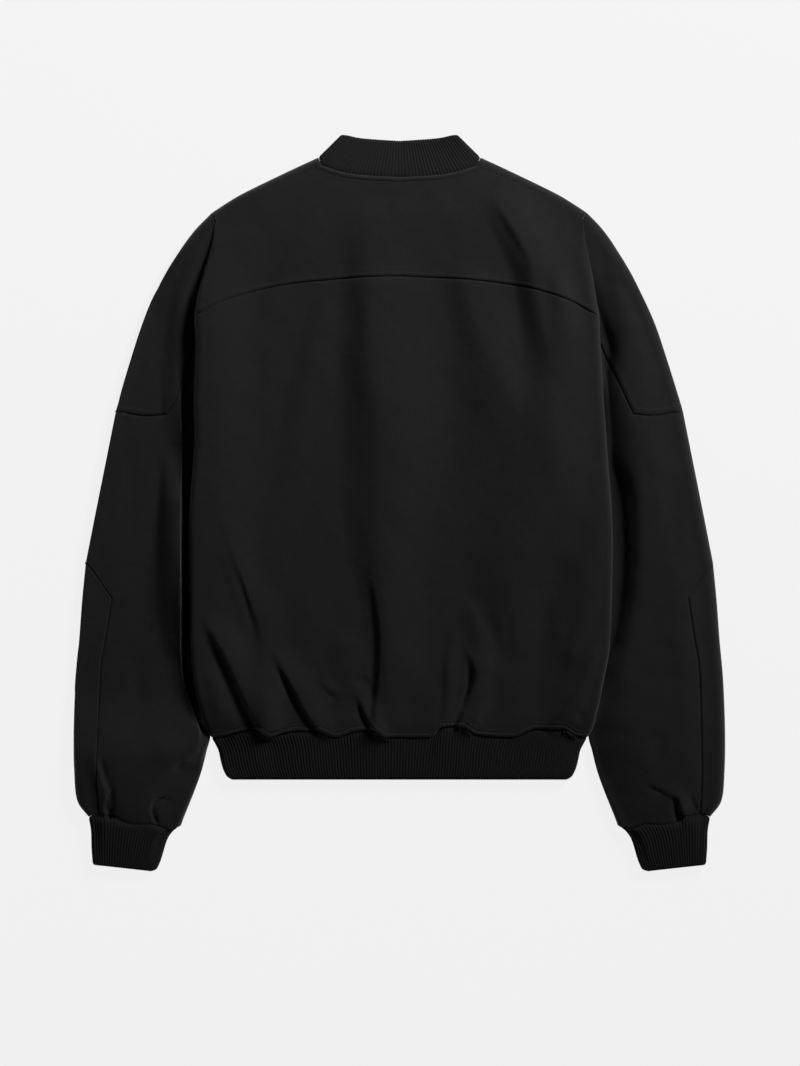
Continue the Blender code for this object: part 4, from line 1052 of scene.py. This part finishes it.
# The numbers ending in Long and Wide are lengths that rows and columns are spaced over.
backPiece = {
    "collarStitch": 6.2,  # the row below the collar seam
    "yokeStitch": 6.0,  # the row above the yoke seam
    "hemStitch": 5.6,  # the row above the waistband
    "hemPress": 3.0,  # how much deeper than elsewhere that row is pulled in
    "collarPress": 2.2,
    "ripple": 0.22,  # how uneven the cloth lies
    "rippleSizes": (34, 70), "rippleSeed": 3,
    "yokeLong": 108, "bodyLong": 461,
    "hemPoints": 281,
    "neckShare": 0.42,  # the part of the yoke seam below the collar
    "collarEnd": 80, "yokeEnd": 205,  # how far out those two rows of stitches run
    "yokeCorner": (0.80, 1.0),  # rows over which the folds run into the yoke seam's corners
    "bodyCorner": (0, 0.05),
    "yokeCut": (0.446, 0.172, 0.052),
    "bodyCut": (0.474, 0.520, 0.232),
}

hemTop = bodyShape["up"][0]
hemReach = bodyShape["half"][0] - form["fold"]
hemAcross = np.linspace(-hemReach, hemReach, backPiece["hemPoints"])
hemLine = np.column_stack([hemAcross, column(gathers, "up", hemAcross)])
collarBase, yokeLine = bothWays(curve(neckLine)), bothWays(curve(yokeSeam))
backSeams = {
    "collar": [(collarBase, [backPiece["collarStitch"]])],
    "yoke": [(yokeLine, [backPiece["yokeStitch"]])],
    "body": [(yokeLine, [])],
    "hem": [(hemLine, [backPiece["hemStitch"]])],
}

# Small pleats above the waistband, at its gathers: each group's place, half width, height.
pleats = {
    "groups": [(56, 15, 1.0), (164, 14, 0.9), (-166, 15, 0.4), (-98, 12, 0.4), (-32, 10, 0.35)],
    "up": 4.5,  # their middle above the seam, and how far they reach from it
    "pitch": 4.4,
}


def puckers(x, y):
    total = np.zeros(np.shape(x))
    down = np.exp(-((y - column(gathers, "up", x)) / pleats["up"] - 1) ** 2)
    for middle, half, high in pleats["groups"]:
        across = np.exp(-((x - middle) / half) ** 4)
        total += high * across * down * np.sin((x - middle) * 2 * math.pi / pleats["pitch"])
    return total


def backUneven(x, y):
    return backPiece["ripple"] * ripple(x, y, backPiece["rippleSizes"], backPiece["rippleSeed"])


def yokeTop(x, y):
    return bodyTop(x, y) + seamRelief(x, y, backSeams["yoke"]) \
        + seamRelief(x, y, backSeams["collar"], backPiece["collarPress"]) + backUneven(x, y)


def backTop(x, y):
    return bodyTop(x, y) + seamRelief(x, y, backSeams["body"]) + puckers(x, y) \
        + seamRelief(x, y, backSeams["hem"], backPiece["hemPress"]) + backUneven(x, y)


# At each of these heights: where the body's fold starts to turn, and its edge.
def sideLines(ups):
    half = column(bodyShape, "half", ups)
    reach = form["fold"] * (1 - smooth(ups, form["armStart"] - form["foldFade"], form["armStart"]))
    return np.column_stack([half - reach, ups]), np.column_stack([half, ups])


def makeYoke():
    gap, look = form["seam"] / 2, backPiece
    down = shares(look["yokeLong"], True, True)
    neckShares = shares(form["neckLong"], step=sewing["neckStep"])
    shoulderShares = shares(form["shoulderLong"], step=sewing["neckStep"])
    half = joined(spaced(curve(neckLine), neckShares), spaced(curve(shoulderIn), shoulderShares))
    alongSeam = [neckShares * look["neckShare"],
                 look["neckShare"] + shoulderShares[1:] * (1 - look["neckShare"])]
    seam = spaced(curve(yokeSeam), np.concatenate(alongSeam)) + (0, gap)
    inset, edge = sideLines(form["armStart"] + (yokeEnd[1] - form["armStart"]) * down)
    inset += smooth(down, *look["yokeCorner"])[:, None] * (seam[-1] - inset[-1])
    inset[0] = half[-1]
    edge[0], edge[-1] = inset[0], (yokeEnd[0], yokeEnd[1] + gap)
    plan = fill(bothWays(half), bothWays(seam), inset * (-1, 1), inset)
    main = raised(plan, yokeTop)
    arm = atHeight(edge, column(bodyShape, "edge", edge[:, 1]) + gap)
    arm[0] = main[0, -1, :3]
    over = atHeight(spaced(curve(shoulder), shoulderShares), form["shoulderMid"] + gap)
    last = len(over)
    uppers = [main, turned(main[:, -1], arm), turned(main[:, 0], mirrored(arm)),
              turned(main[0, -last:], over), turned(main[0, last - 1::-1], mirrored(over))]
    sewn("yoke", uppers, [], "back_yoke", look["yokeCut"], ["front_left", "front_right"])
    for name, line, away, end in (
            ("yoke_collar_stitches", collarBase, -look["collarStitch"], look["collarEnd"]),
            ("yoke_seam_stitches", yokeLine, look["yokeStitch"], look["yokeEnd"])):
        line = shifted(line, away)
        stitchedLine(name, line[np.abs(line[:, 0]) < end], yokeTop)


def makeBack():
    gap, look = form["seam"] / 2, backPiece
    down = shares(look["bodyLong"], True, True, sewing["backRows"], sewing["hemFine"],
                  sewing["hemRows"])
    across = shares(2 * hemReach, step=sewing["backStep"])
    seam = spaced(yokeLine, across) - (0, gap)
    bottom = spaced(hemLine, across) + (0, gap)
    inset, edge = sideLines(yokeEnd[1] - gap + (hemTop + 2 * gap - yokeEnd[1]) * down)
    inset += (1 - smooth(down, *look["bodyCorner"]))[:, None] * (seam[-1] - inset[0])
    inset[-1] = bottom[-1]
    main = raised(fill(seam, bottom, inset * (-1, 1), inset), backTop)
    rim = atHeight(edge, column(bodyShape, "edge", edge[:, 1]) + gap)
    uppers = [main] + [turned(main[:, i], line, power=form["squareFold"])
                       for i, line in ((-1, rim), (0, mirrored(rim)))]
    sewn("back", uppers, [], "back_body", look["bodyCut"],
         ["front_left", "front_right", "sleeve_lower_left", "sleeve_lower_right"])
    stitchedLine("hem_stitches", shifted(hemLine, look["hemStitch"]), backTop)


frontPiece = {
    "zipStitch": 7.0,  # row beside the zip, and how far short of its ends it stops
    "zipStitchEnd": 3.0,
    "otherStitch": 5.6,  # rows beside the waistband and the collar
    "rise": 0.25,  # how far its cloth stands off the floor, and its stitches off it
    "stitchRise": 0.1,
    "long": 569,
    "spread": 1.15,  # above 1, its columns crowd towards the zip
    "cut": (0.256, 0.640, 0.131),
}


def makeFront(side):
    gap, look, name = form["seam"] / 2, frontPiece, sideNames[side]
    shoulderShares = shares(form["shoulderLong"], step=sewing["frontStep"])
    neck = curve(frontNeck)
    neck = spaced(neck, shares(lengthsOf(neck)[-1], step=sewing["frontNeckStep"]))
    top = joined(neck, spaced(curve(shoulderIn), shoulderShares))
    zipEdge, foot = form["zipEdge"], hemTop + gap
    bottom = np.column_stack([zipEdge + (hemReach - zipEdge) * sharesOf(top) ** look["spread"],
                              np.full(len(top), foot)])
    down = shares(look["long"], False, True, sewing["underStep"])
    inset, edge = sideLines(form["armStart"] + (foot - form["armStart"]) * down)
    inset[0], inset[-1] = top[-1], bottom[-1]
    centre = top[0] + (bottom[0] - top[0]) * down[:, None]
    seams = [(curve([frontNeck[0], bottom[0]]), [look["zipStitch"]]),
             (curve([bottom[0], bottom[-1]]), [look["otherStitch"]]),
             (curve(frontNeck), [look["otherStitch"]])]

    def under(x, y):
        overSleeve = column(bodyShape, "lift", y) * smooth(np.abs(x), *form["liftRamp"])
        return np.maximum(zipRise(x), overSleeve) + look["rise"] \
            - sewing["underPress"] * seamRelief(x, y, seams)

    main = raised(fill(top, bottom, centre, inset), lambda x, y: np.maximum(under(x, y), 0.0))
    rim = atHeight(edge, np.maximum(underEdge(edge[:, 1]) - gap, 0.0))
    rim[0] = main[0, -1, :3]
    over = atHeight(spaced(curve(shoulder), shoulderShares), form["shoulderMid"] - gap)
    grids = [main, turned(main[:, -1], rim, sewing["underFolds"]),
             turned(main[0, -len(over):], over, sewing["underFolds"])]
    sewn("front_cloth_" + name, [], sideOf(grids, side), "front_" + name, look["cut"])
    out, end = zipEdge + look["zipStitch"], look["zipStitchEnd"]
    line = curve([(out, frontNeck[0][1] - end), (out, foot + end)]) * (side, 1)
    stitchedLine("zip_stitches_" + name, line,
                 lambda x, y: under(np.abs(x), y) + look["stitchRise"])


sleevePiece = {
    "seamRows": [1.9, 7.4],  # rows of stitches on the upper sleeve's lower edge
    "forearmRows": [1.6],
    "ripple": 0.28,
    "rippleSizes": (36, 80), "rippleSeed": 11,
    "underRise": 0.2,  # how far its underside stands off the floor
    "shoulderSpan": (0, 0.08),  # rows over which its edge leaves the shoulder's height
    "cuffSpan": (0.75, 1.0),  # and comes down to the cuff's
    "cornerShare": 1 / 6,  # where the lower sleeve's fold leaves the slanted seam
    "upperLong": 251, "upperWide": 58, "upperSteep": 17,
    "lowerLong": 535, "lowerWide": 104, "lowerSteep": 26,
    "forearmLong": 266, "forearmWide": 20,
    "armholePoints": 60,
    "panelEnds": (6, -6), "pointEnds": (3, -1),  # the points between which stitches run
    "stitchesTop": 172, "stitchesOut": 299,  # the rows of stitches end there
    "insetFull": 130,  # up to there the lower sleeve's fold has its full width
    "upperCut": (0.210, 0.235, 0.027),
    "lowerCut": (0.300, 0.470, 0.108),
    "forearmCut": (0.064, 0.290, 0.0168),
}

armholeUps = np.linspace(form["armStart"], form["slantTop"], sleevePiece["armholePoints"])
armhole = shifted(np.column_stack([column(bodyShape, "half", armholeUps), armholeUps]),
                  form["seam"])
slantSeam = curve([armhole[-1], upperCorner])
upperEdge = joined(slantSeam, curve(upperSeam))
cuffEdge, panelSeam, panelPoint = curve(cuffSeam[:-1]), curve(forearmSeam), curve(forearmPoint)
sleeveSeams = {
    "upper": [(upperEdge, sleevePiece["seamRows"])],
    "lower": [(upperEdge, []), (cuffEdge, []), (panelSeam, [])],
    "forearm": [(panelSeam, sleevePiece["forearmRows"]), (panelPoint, sleevePiece["forearmRows"]),
                (curve(cuffSeam[-3:]), [])],
}


def sleeveFace(part, side):
    def top(x, y):
        out = np.abs(x)
        uneven = ripple(out, y, sleevePiece["rippleSizes"], sleevePiece["rippleSeed"] + side)
        return sleeveTop(x, y, side) + seamRelief(out, y, sleeveSeams[part]) \
            + sleevePiece["ripple"] * uneven
    return top


def sleeveUnder(part):
    def under(x, y):
        relief = sewing["underPress"] * seamRelief(np.abs(x), y, sleeveSeams[part])
        return np.maximum(sleevePiece["underRise"] - relief, 0.0)
    return under


# Both faces of one part of a sleeve. Each edge that turns is given as the column of the
# grid that it follows, its line, and its steps where both faces turn alike.
def sleevePart(name, node, part, side, planOf, edgesOf):
    faces = []
    for under in (False, True):
        main = raised(planOf(under), sleeveUnder(part) if under else sleeveFace(part, side))
        if not under and part != "forearm":
            main[..., 0] = drawnIn(main[..., 0], main[..., 1], side)
        steps = sewing["underFolds" if under else "foldSteps"]
        folds = [turned(main[: len(line), i], line, fixed or steps)
                 for i, line, fixed in edgesOf(under)]
        faces.append(sideOf([main] + folds, side))
    name, node = name + sideNames[side], node + sideNames[side]
    sewn(name, *faces, node, sleevePiece[part + "Cut"])


def makeUpperSleeve(side):
    look, name = sleevePiece, sideNames[side]
    down = shares(look["upperLong"], False, True)
    outerIn = spaced(curve(armTopIn), down)
    edge = atHeight(spaced(curve(armTop), down), form["sleeveMid"])
    drop = 1 - smooth(down, *look["shoulderSpan"])
    edge[:, 2] -= (form["sleeveMid"] - form["shoulderMid"]) * drop
    inner = spaced(joined(armhole, slantSeam), down)
    inner[0] = outerIn[0]

    def planOf(under):
        across = shares(look["upperWide"], True, False, sewing["underStep"]) if under else \
            sideShares(look["upperWide"], look["upperSteep"], True, False)
        top = np.repeat(outerIn[:1], len(across), axis=0)
        return fill(top, spaced(curve(upperSeam), across), inner, outerIn)

    sleevePart("sleeve_top_", "sleeve_upper_", "upper", side, planOf,
               lambda under: [(-1, edge, None)])
    for i, row in enumerate(look["seamRows"]):
        line = shifted(upperEdge, row)
        line = line[(line[:, 1] < look["stitchesTop"]) & (line[:, 0] < look["stitchesOut"])]
        stitchedLine(f"sleeve_stitches_{name}_{i + 1}", line * (side, 1),
                     sleeveFace("upper", side), side=side)


# The lower sleeve's inner edge, from the slanted seam down to the cuff, and its inset.
def innerEdge():
    start, full = armhole[-1], sleevePiece["insetFull"]
    ups = np.arange(form["slantTop"] - 2, cuffInner[0][1] + 1, -1.0)
    ups = np.append(start[1] - form["seam"], ups)
    across = np.where(ups >= form["underarm"], column(bodyShape, "half", ups) + form["seam"],
                      column(sleeveShape, "inner", ups))
    edge = np.vstack([np.column_stack([across, ups]), [cuffInner[0]]])
    corner = spaced(slantSeam, [sleevePiece["cornerShare"]])[0]
    part = np.clip((start[1] - edge[:, 1]) / (form["slantTop"] - full), 0, 1)[:, None]
    goal = np.array([column(bodyShape, "half", full) + form["underarmFold"], full])
    inset = np.where(edge[:, 1:] > full, corner + part * (goal - corner),
                     edge + (form["underarmFold"], 0))
    inset[-1] = cuffSeam[0]
    return edge, inset


def makeLowerSleeve(side):
    look, gap = sleevePiece, form["seam"]
    down = shares(look["lowerLong"], True, True)
    edgeLine, insetLine = innerEdge()
    rows = np.interp(down, sharesOf(edgeLine), np.arange(len(edgeLine)))
    inner, inset = (np.column_stack([np.interp(rows, np.arange(len(line)), values)
                                     for values in line.T]) for line in (edgeLine, insetLine))
    elbow = curve(armMiddleIn)
    outerLine = joined(elbow, curve([elbow[-1], forearmPoint[-1]]), panelSeam)
    # rows are kept at the elbow's point and at the panel's corner, where the outer line bends
    marks = np.array([lengthsOf(elbow)[-1], lengthsOf(elbow)[-1] + lengthsOf(panelPoint)[-1]])
    marks = marks / lengthsOf(outerLine)[-1]
    bend, corner = (int(np.argmin(np.abs(down - mark))) for mark in marks)
    outerShares = np.interp(down, [0, down[bend], down[corner], 1], [0, *marks, 1])
    outer = spaced(outerLine, outerShares)
    outer[bend:, 0] -= gap
    middle = atHeight(spaced(curve(armMiddle), outerShares[: bend + 1] / marks[0]),
                      form["sleeveMid"])
    topLine = joined(curve([inset[0], upperCorner]), curve(upperSeam))

    def planOf(under):
        across = shares(look["lowerWide"], False, True, sewing["underStep"]) if under else \
            sideShares(look["lowerWide"], look["lowerSteep"], False, True)
        top, bottom = spaced(shifted(topLine, -gap), across), spaced(cuffEdge, across)
        left = inset.copy()
        left[0], bottom[-1], top[-1] = top[0], outer[-1], outer[0]
        plan = fill(top, bottom, left, outer)
        return plan if under else crowded(plan, look["lowerSteep"] / look["lowerWide"], side)

    def edgesOf(under):
        up, fine = inner[:, 1], column(sleeveShape, "edge", inner[:, 1])
        body = underEdge(up) if under else column(bodyShape, "edge", up)
        high = np.where(up < form["underarm"], fine, body)
        return [(0, atHeight(inner, high), sewing["underFolds"]), (-1, middle, None)]

    sleevePart("sleeve_", "sleeve_lower_", "lower", side, planOf, edgesOf)


def makeForearm(side):
    look, name = sleevePiece, sideNames[side]
    down = shares(look["forearmLong"], True, True)
    seam, outerIn = spaced(panelSeam, down), spaced(curve(armLowerIn), down)
    edge = atHeight(spaced(curve(armLower), down), form["sleeveMid"])
    edge[:, 2] -= (form["sleeveMid"] - form["cuffOuterMid"]) * smooth(down, *look["cuffSpan"])

    def planOf(under):
        across = shares(look["forearmWide"], True, False, sewing["underStep" if under else "step"])
        bottom = spaced(curve([seam[-1], outerIn[-1]]), across)
        return fill(spaced(panelPoint[::-1], across), bottom, seam, outerIn)

    sleevePart("forearm_", "forearm_panel_", "forearm", side, planOf,
               lambda under: [(-1, edge, None)])
    for kind, line, ends in (("", panelSeam, "panelEnds"), ("point_", panelPoint, "pointEnds")):
        line = shifted(line, look["forearmRows"][0])[slice(*look[ends])]
        stitchedLine(f"forearm_{kind}stitches_{name}", line * (side, 1),
                     sleeveFace("forearm", side))


bands = {
    "rows": [0, 1.2, 3.0, 6.0],  # millimetres from the seam; then evenly
    "rowStep": 3.8,
    "footRows": [2.6, 1.5, 0.7, 0.25, 0],
    "footRoll": 1.1,  # how far the folded edge rounds off, and over what distance
    "footSpan": (-0.1, 2.4),
    "pitch": 3.2,  # from rib to rib
    "perRib": 6,  # points across one rib
    "deep": 0.85,  # how far the cloth sinks between two ribs
    "sharp": 1.25,  # above 1, the ribs are broad and the valleys narrow
    "ribSpan": (-2, 1.5),  # the valleys begin over this distance from the seam
    "seamSink": 1.3,  # how far the knit dips into its seam, and over what width
    "seamWide": 1.3,
    "pullSpan": (-1, 6.5),  # the gathers fade out over this distance from the seam
    "foldSteps": 8,
    "hemLong": 47.0, "hemWide": 395, "hemHalf": 190, "hemStep": 4.0,
    "collarLong": 41.5, "frontCollar": 120, "collarStep": 3.0, "collarIn": 0.1,
    "cuffLong": 50.0, "cuffWide": 90,
    "cuffSwell": 6,  # how much higher than its ends a cuff's seam lies
    "cuffEnds": ((0, 0.12), (0.88, 1)),
    "cuffTilt": 0.4,
    "hemCut": (0.840, 0.094, 0.078),
    "collarCut": (0.400, 0.110, 0.036),
    "cuffCut": (0.190, 0.110, 0.020),
}


def bandRows(long):
    head, foot = np.array(bands["rows"]), np.array(bands["footRows"])
    count = max(2, round((long - head[-1] - foot[0]) / bands["rowStep"]))
    middle = np.linspace(head[-1], long - foot[0], count)
    return np.concatenate([head[:-1], middle, long - foot[1:]]) / long


# A knitted band: the strip's columns run round it, its rows from the seam to its edge.
def ribbed(name, strip, long, closed, node, cut):
    walked = np.linalg.norm(np.diff(strip, axis=1), axis=2).mean(axis=0)
    walked = np.append(0, np.cumsum(walked))
    ribs = round(walked[-1] / bands["pitch"])
    phase = np.arange(ribs * bands["perRib"] + 1) / bands["perRib"]
    index = np.interp(phase / ribs * walked[-1], walked, np.arange(len(walked)))
    low = np.minimum(index.astype(int), len(walked) - 2)
    part = (index - low)[None, :, None]
    grid = strip[:, low] * (1 - part) + strip[:, low + 1] * part
    wide = np.gradient(grid, axis=1)
    if closed:
        wide[:, 0] = wide[:, -1] = grid[:, 1] - grid[:, -2]
    out = unit(np.cross(np.gradient(grid, axis=0), wide))
    row = len(grid) // 2
    if out[row, int(np.argmax(grid[row, :, 2])), 2] < 0:
        out = -out
    valley = (0.5 - 0.5 * np.cos(2 * math.pi * phase)) ** bands["sharp"]
    down = bandRows(long) * long
    sink = bands["deep"] * valley[None] * smooth(down, *bands["ribSpan"])[:, None]
    sink = sink + bands["seamSink"] * np.exp(-(down / bands["seamWide"]) ** 2)[:, None]
    sink = sink + bands["footRoll"] * (1 - smooth(long - down, *bands["footSpan"]))[:, None]
    grid = grid - out * sink[..., None]
    grid[..., 2] = np.maximum(grid[..., 2], 0.0)
    ribMap = np.dstack(np.broadcast_arrays(phase[None] / mm, down[:, None]))
    top = int(np.argmax(grid[row, :, 2]))
    acrossWay = grid[row, top + 1] - grid[row, top - 1]
    over = np.cross(grid[row + 1, top] - grid[row - 1, top], acrossWay)[2] < 0
    piece = meshOf(name, [(np.dstack([grid, ribMap]), over)], knit)
    declared(thickened(piece, sewing["ribWall"]), node)


# Grids side by side in one; each starts on the last one's final column.
def stripOf(*parts):
    return np.concatenate([parts[0][..., :3]] + [part[:, 1:, :3] for part in parts[1:]], axis=1)


# A band's upper face, between two heights that may change along it.
def banded(top, bottom, left, right, upper, lower, down):
    plan = fill(top, bottom, left, right)
    return np.dstack([plan, upper * (1 - down[:, None]) + lower * down[:, None], plan])


# The line's heights, from one at its start to another at its end.
def sloped(line, start, end, down):
    return atHeight(line, start + (end - start) * down)


# A band open at the zip, from its upper face, half its lower one and the line between them.
def openBand(name, main, below, mids, long, node, cut):
    lower, upper = (turned(face[:, -1], mids, bands["foldSteps"]) for face in (below, main))
    half = [below, lower, upper[:, ::-1]]
    strip = stripOf(*half, main[:, ::-1], *[mirrored(part)[:, ::-1] for part in half[::-1]])
    ribbed(name, strip, long, False, node, cut)


def atZip(x, y):
    return zipRise(x) + 0 * y


def makeHem():
    long, fold, gap = bands["hemLong"], form["ribFold"], form["seam"] / 2
    down = bandRows(long)
    side = spaced(curve(hemSide), down)
    side[0, 1] -= gap
    top = spaced(hemLine, shares(bands["hemWide"], step=bands["hemStep"])) - (0, gap)
    last = side[-1, 0] - fold
    foot = np.column_stack([np.linspace(-last, last, len(top)), np.full(len(top), form["hemFoot"])])
    inset = side - (fold, 0)
    inset[0], inset[-1] = top[-1], foot[-1]
    main = banded(top, foot, inset * (-1, 1), inset, bodyPlain(*top.T), form["hemEdgeTop"], down)
    pull = 1 - smooth(down * long, *bands["pullSpan"])
    main[..., 2] += bodyFolds(*top.T) * pull[:, None]
    mids = sloped(side, bodyShape["edge"][0], form["ribEdgeMid"], down)
    under = inset.copy()
    under[0, 1] = side[0, 1]
    across = shares(bands["hemHalf"], step=bands["hemStep"])
    ends = [np.column_stack([form["zipEdge"] + (out - form["zipEdge"]) * across,
                             np.full(len(across), up)])
            for out, up in ((inset[0, 0], side[0, 1]), (last, form["hemFoot"]))]
    centre = ends[0][0] + (ends[1][0] - ends[0][0]) * down[:, None]
    openBand("hem_knit", main, raised(fill(*ends, centre, under), atZip), mids, long, "hem_rib",
             bands["hemCut"])


def makeCollar():
    long = bands["collarLong"]
    down = bandRows(long)
    across = shares(form["neckLong"], step=bands["collarStep"])
    neck = shifted(spaced(curve(neckLine), across), form["seam"])
    top = spaced(curve(collarTop), across)
    side = spaced(curve(collarSide), down) + (-bands["collarIn"], form["seam"])
    inset = neck[-1] + (top[-1] - neck[-1]) * down[:, None]
    low = bothWays(neck)
    main = banded(low, bothWays(top), inset * (-1, 1), inset, bodyTop(*low.T),
                  form["collarEdgeTop"], down)
    mids = sloped(side, form["shoulderMid"], form["ribEdgeMid"], down)
    frontShares = shares(bands["frontCollar"], step=bands["collarStep"])
    underLow = shifted(spaced(curve(frontNeck), frontShares), form["seam"])
    underLow[0], underLow[-1] = (form["zipEdge"], frontNeck[0][1] + form["seam"]), neck[-1]
    underHigh = spaced(curve(frontCollarTop), frontShares)
    centre = underLow[0] + (underHigh[0] - underLow[0]) * down[:, None]
    below = raised(fill(underLow, underHigh, centre, inset), atZip)
    openBand("collar_knit", main, below, mids, long, "collar_rib", bands["collarCut"])


def makeCuff(side):
    long, fold = bands["cuffLong"], form["ribFold"]
    down = bandRows(long)
    inner, outer = spaced(curve(cuffInner), down), spaced(curve(cuffOuter), down)
    innerMids = sloped(inner, sleeveShape["edge"][0], form["ribEdgeMid"], down)
    outerMids = sloped(outer, form["cuffOuterMid"], form["ribEdgeMid"], down)
    across = shares(bands["cuffWide"], step=bands["collarStep"])
    top = spaced(curve(cuffSeam), across) - (0, form["seam"])
    ends = [inner[-1] + (fold, -bands["cuffTilt"]), outer[-1] - (fold, bands["cuffTilt"])]
    foot = spaced(curve(ends), across)
    left, right = inner + (fold, 0), outer - (fold, 0)
    left[0], left[-1], right[0], right[-1] = top[0], foot[0], top[-1], foot[-1]
    sewnAt = sleeveTop(*top.T, side)
    level = sewnAt[0] + (sewnAt[-1] - sewnAt[0]) * across
    level = level + bands["cuffSwell"] * between(across, *bands["cuffEnds"])
    main = banded(top, foot, left, right, level, form["cuffEdgeTop"], down)
    pull = 1 - smooth(down * long, *bands["pullSpan"])
    main[..., 2] += (sewnAt - level) * pull[:, None]
    below = raised(fill(top, foot, left, right), lambda x, y: 0 * x)
    upperOuter, lowerOuter, upperInner, lowerInner = (
        turned(face[:, i], mids, bands["foldSteps"])
        for i, mids in ((-1, outerMids), (0, innerMids)) for face in (main, below))
    strip = stripOf(main, upperOuter, lowerOuter[:, ::-1], below[:, ::-1], lowerInner,
                    upperInner[:, ::-1])
    name = sideNames[side]
    ribbed("cuff_knit_" + name, *sideOf([strip], side), long, True, "cuff_" + name,
           bands["cuffCut"])


zipTeeth = {
    "pitch": 2.8,
    "size": (3.8, 1.3, 2.7),  # across, along and high
    "reach": 1.2,  # from the middle of the zip to the middle of each tooth
    "level": 7.9,
    "bevel": 0.32,
    "from": -301.5, "to": 285.0,
    "parting": (272, 280), "parted": 1.4,  # where the slider opens them, and by how much
}


# One side's teeth, from a single bevelled tooth copied up its tape.
def makeTeeth(side):
    look = zipTeeth
    start = look["from"] + (look["pitch"] / 2 if side > 0 else 0)
    place = Vector((side * look["reach"], start, look["level"])) * mm
    bpy.ops.object.select_all(action="DESELECT")
    bpy.ops.mesh.primitive_cube_add(size=mm, scale=look["size"], location=place)
    bpy.ops.object.mode_set(mode="EDIT")
    bpy.ops.mesh.select_all(action="SELECT")
    bpy.ops.mesh.bevel(offset=look["bevel"] * mm, segments=1)
    bpy.ops.object.mode_set(mode="OBJECT")
    tooth = bpy.context.object
    bpy.ops.object.transform_apply(location=True, rotation=True, scale=True)
    tooth.name = "zip_teeth_" + sideNames[side]
    tooth.data.materials.append(metal)
    for up in np.arange(start + look["pitch"], look["to"], look["pitch"]):
        nextTooth = tooth.copy()
        nextTooth.data = tooth.data.copy()
        apart = side * look["parted"] * float(smooth(up, *look["parting"]))
        nextTooth.location = (apart * mm, (up - start) * mm, 0)
        bpy.context.collection.objects.link(nextTooth)
        nextTooth.select_set(True)
    bpy.context.view_layer.objects.active = tooth
    tooth.select_set(True)
    bpy.ops.object.join()
    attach(tooth, "jacket")


print("cutting the cloth")
makeYoke()
makeBack()
for side in sideNames:
    makeFront(side)
    makeUpperSleeve(side)
    makeLowerSleeve(side)
    makeForearm(side)
    makeCuff(side)
makeHem()
makeCollar()
print("cloth sewn")
for side in sideNames:
    makeTeeth(side)
print("zip closed")

for node, material in (("zip_tape_left", tape), ("zip_tape_right", tape),
                       ("zip_slider", metal), ("zip_pull_tab", metal)):
    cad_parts[node].material_slots[0].material = material
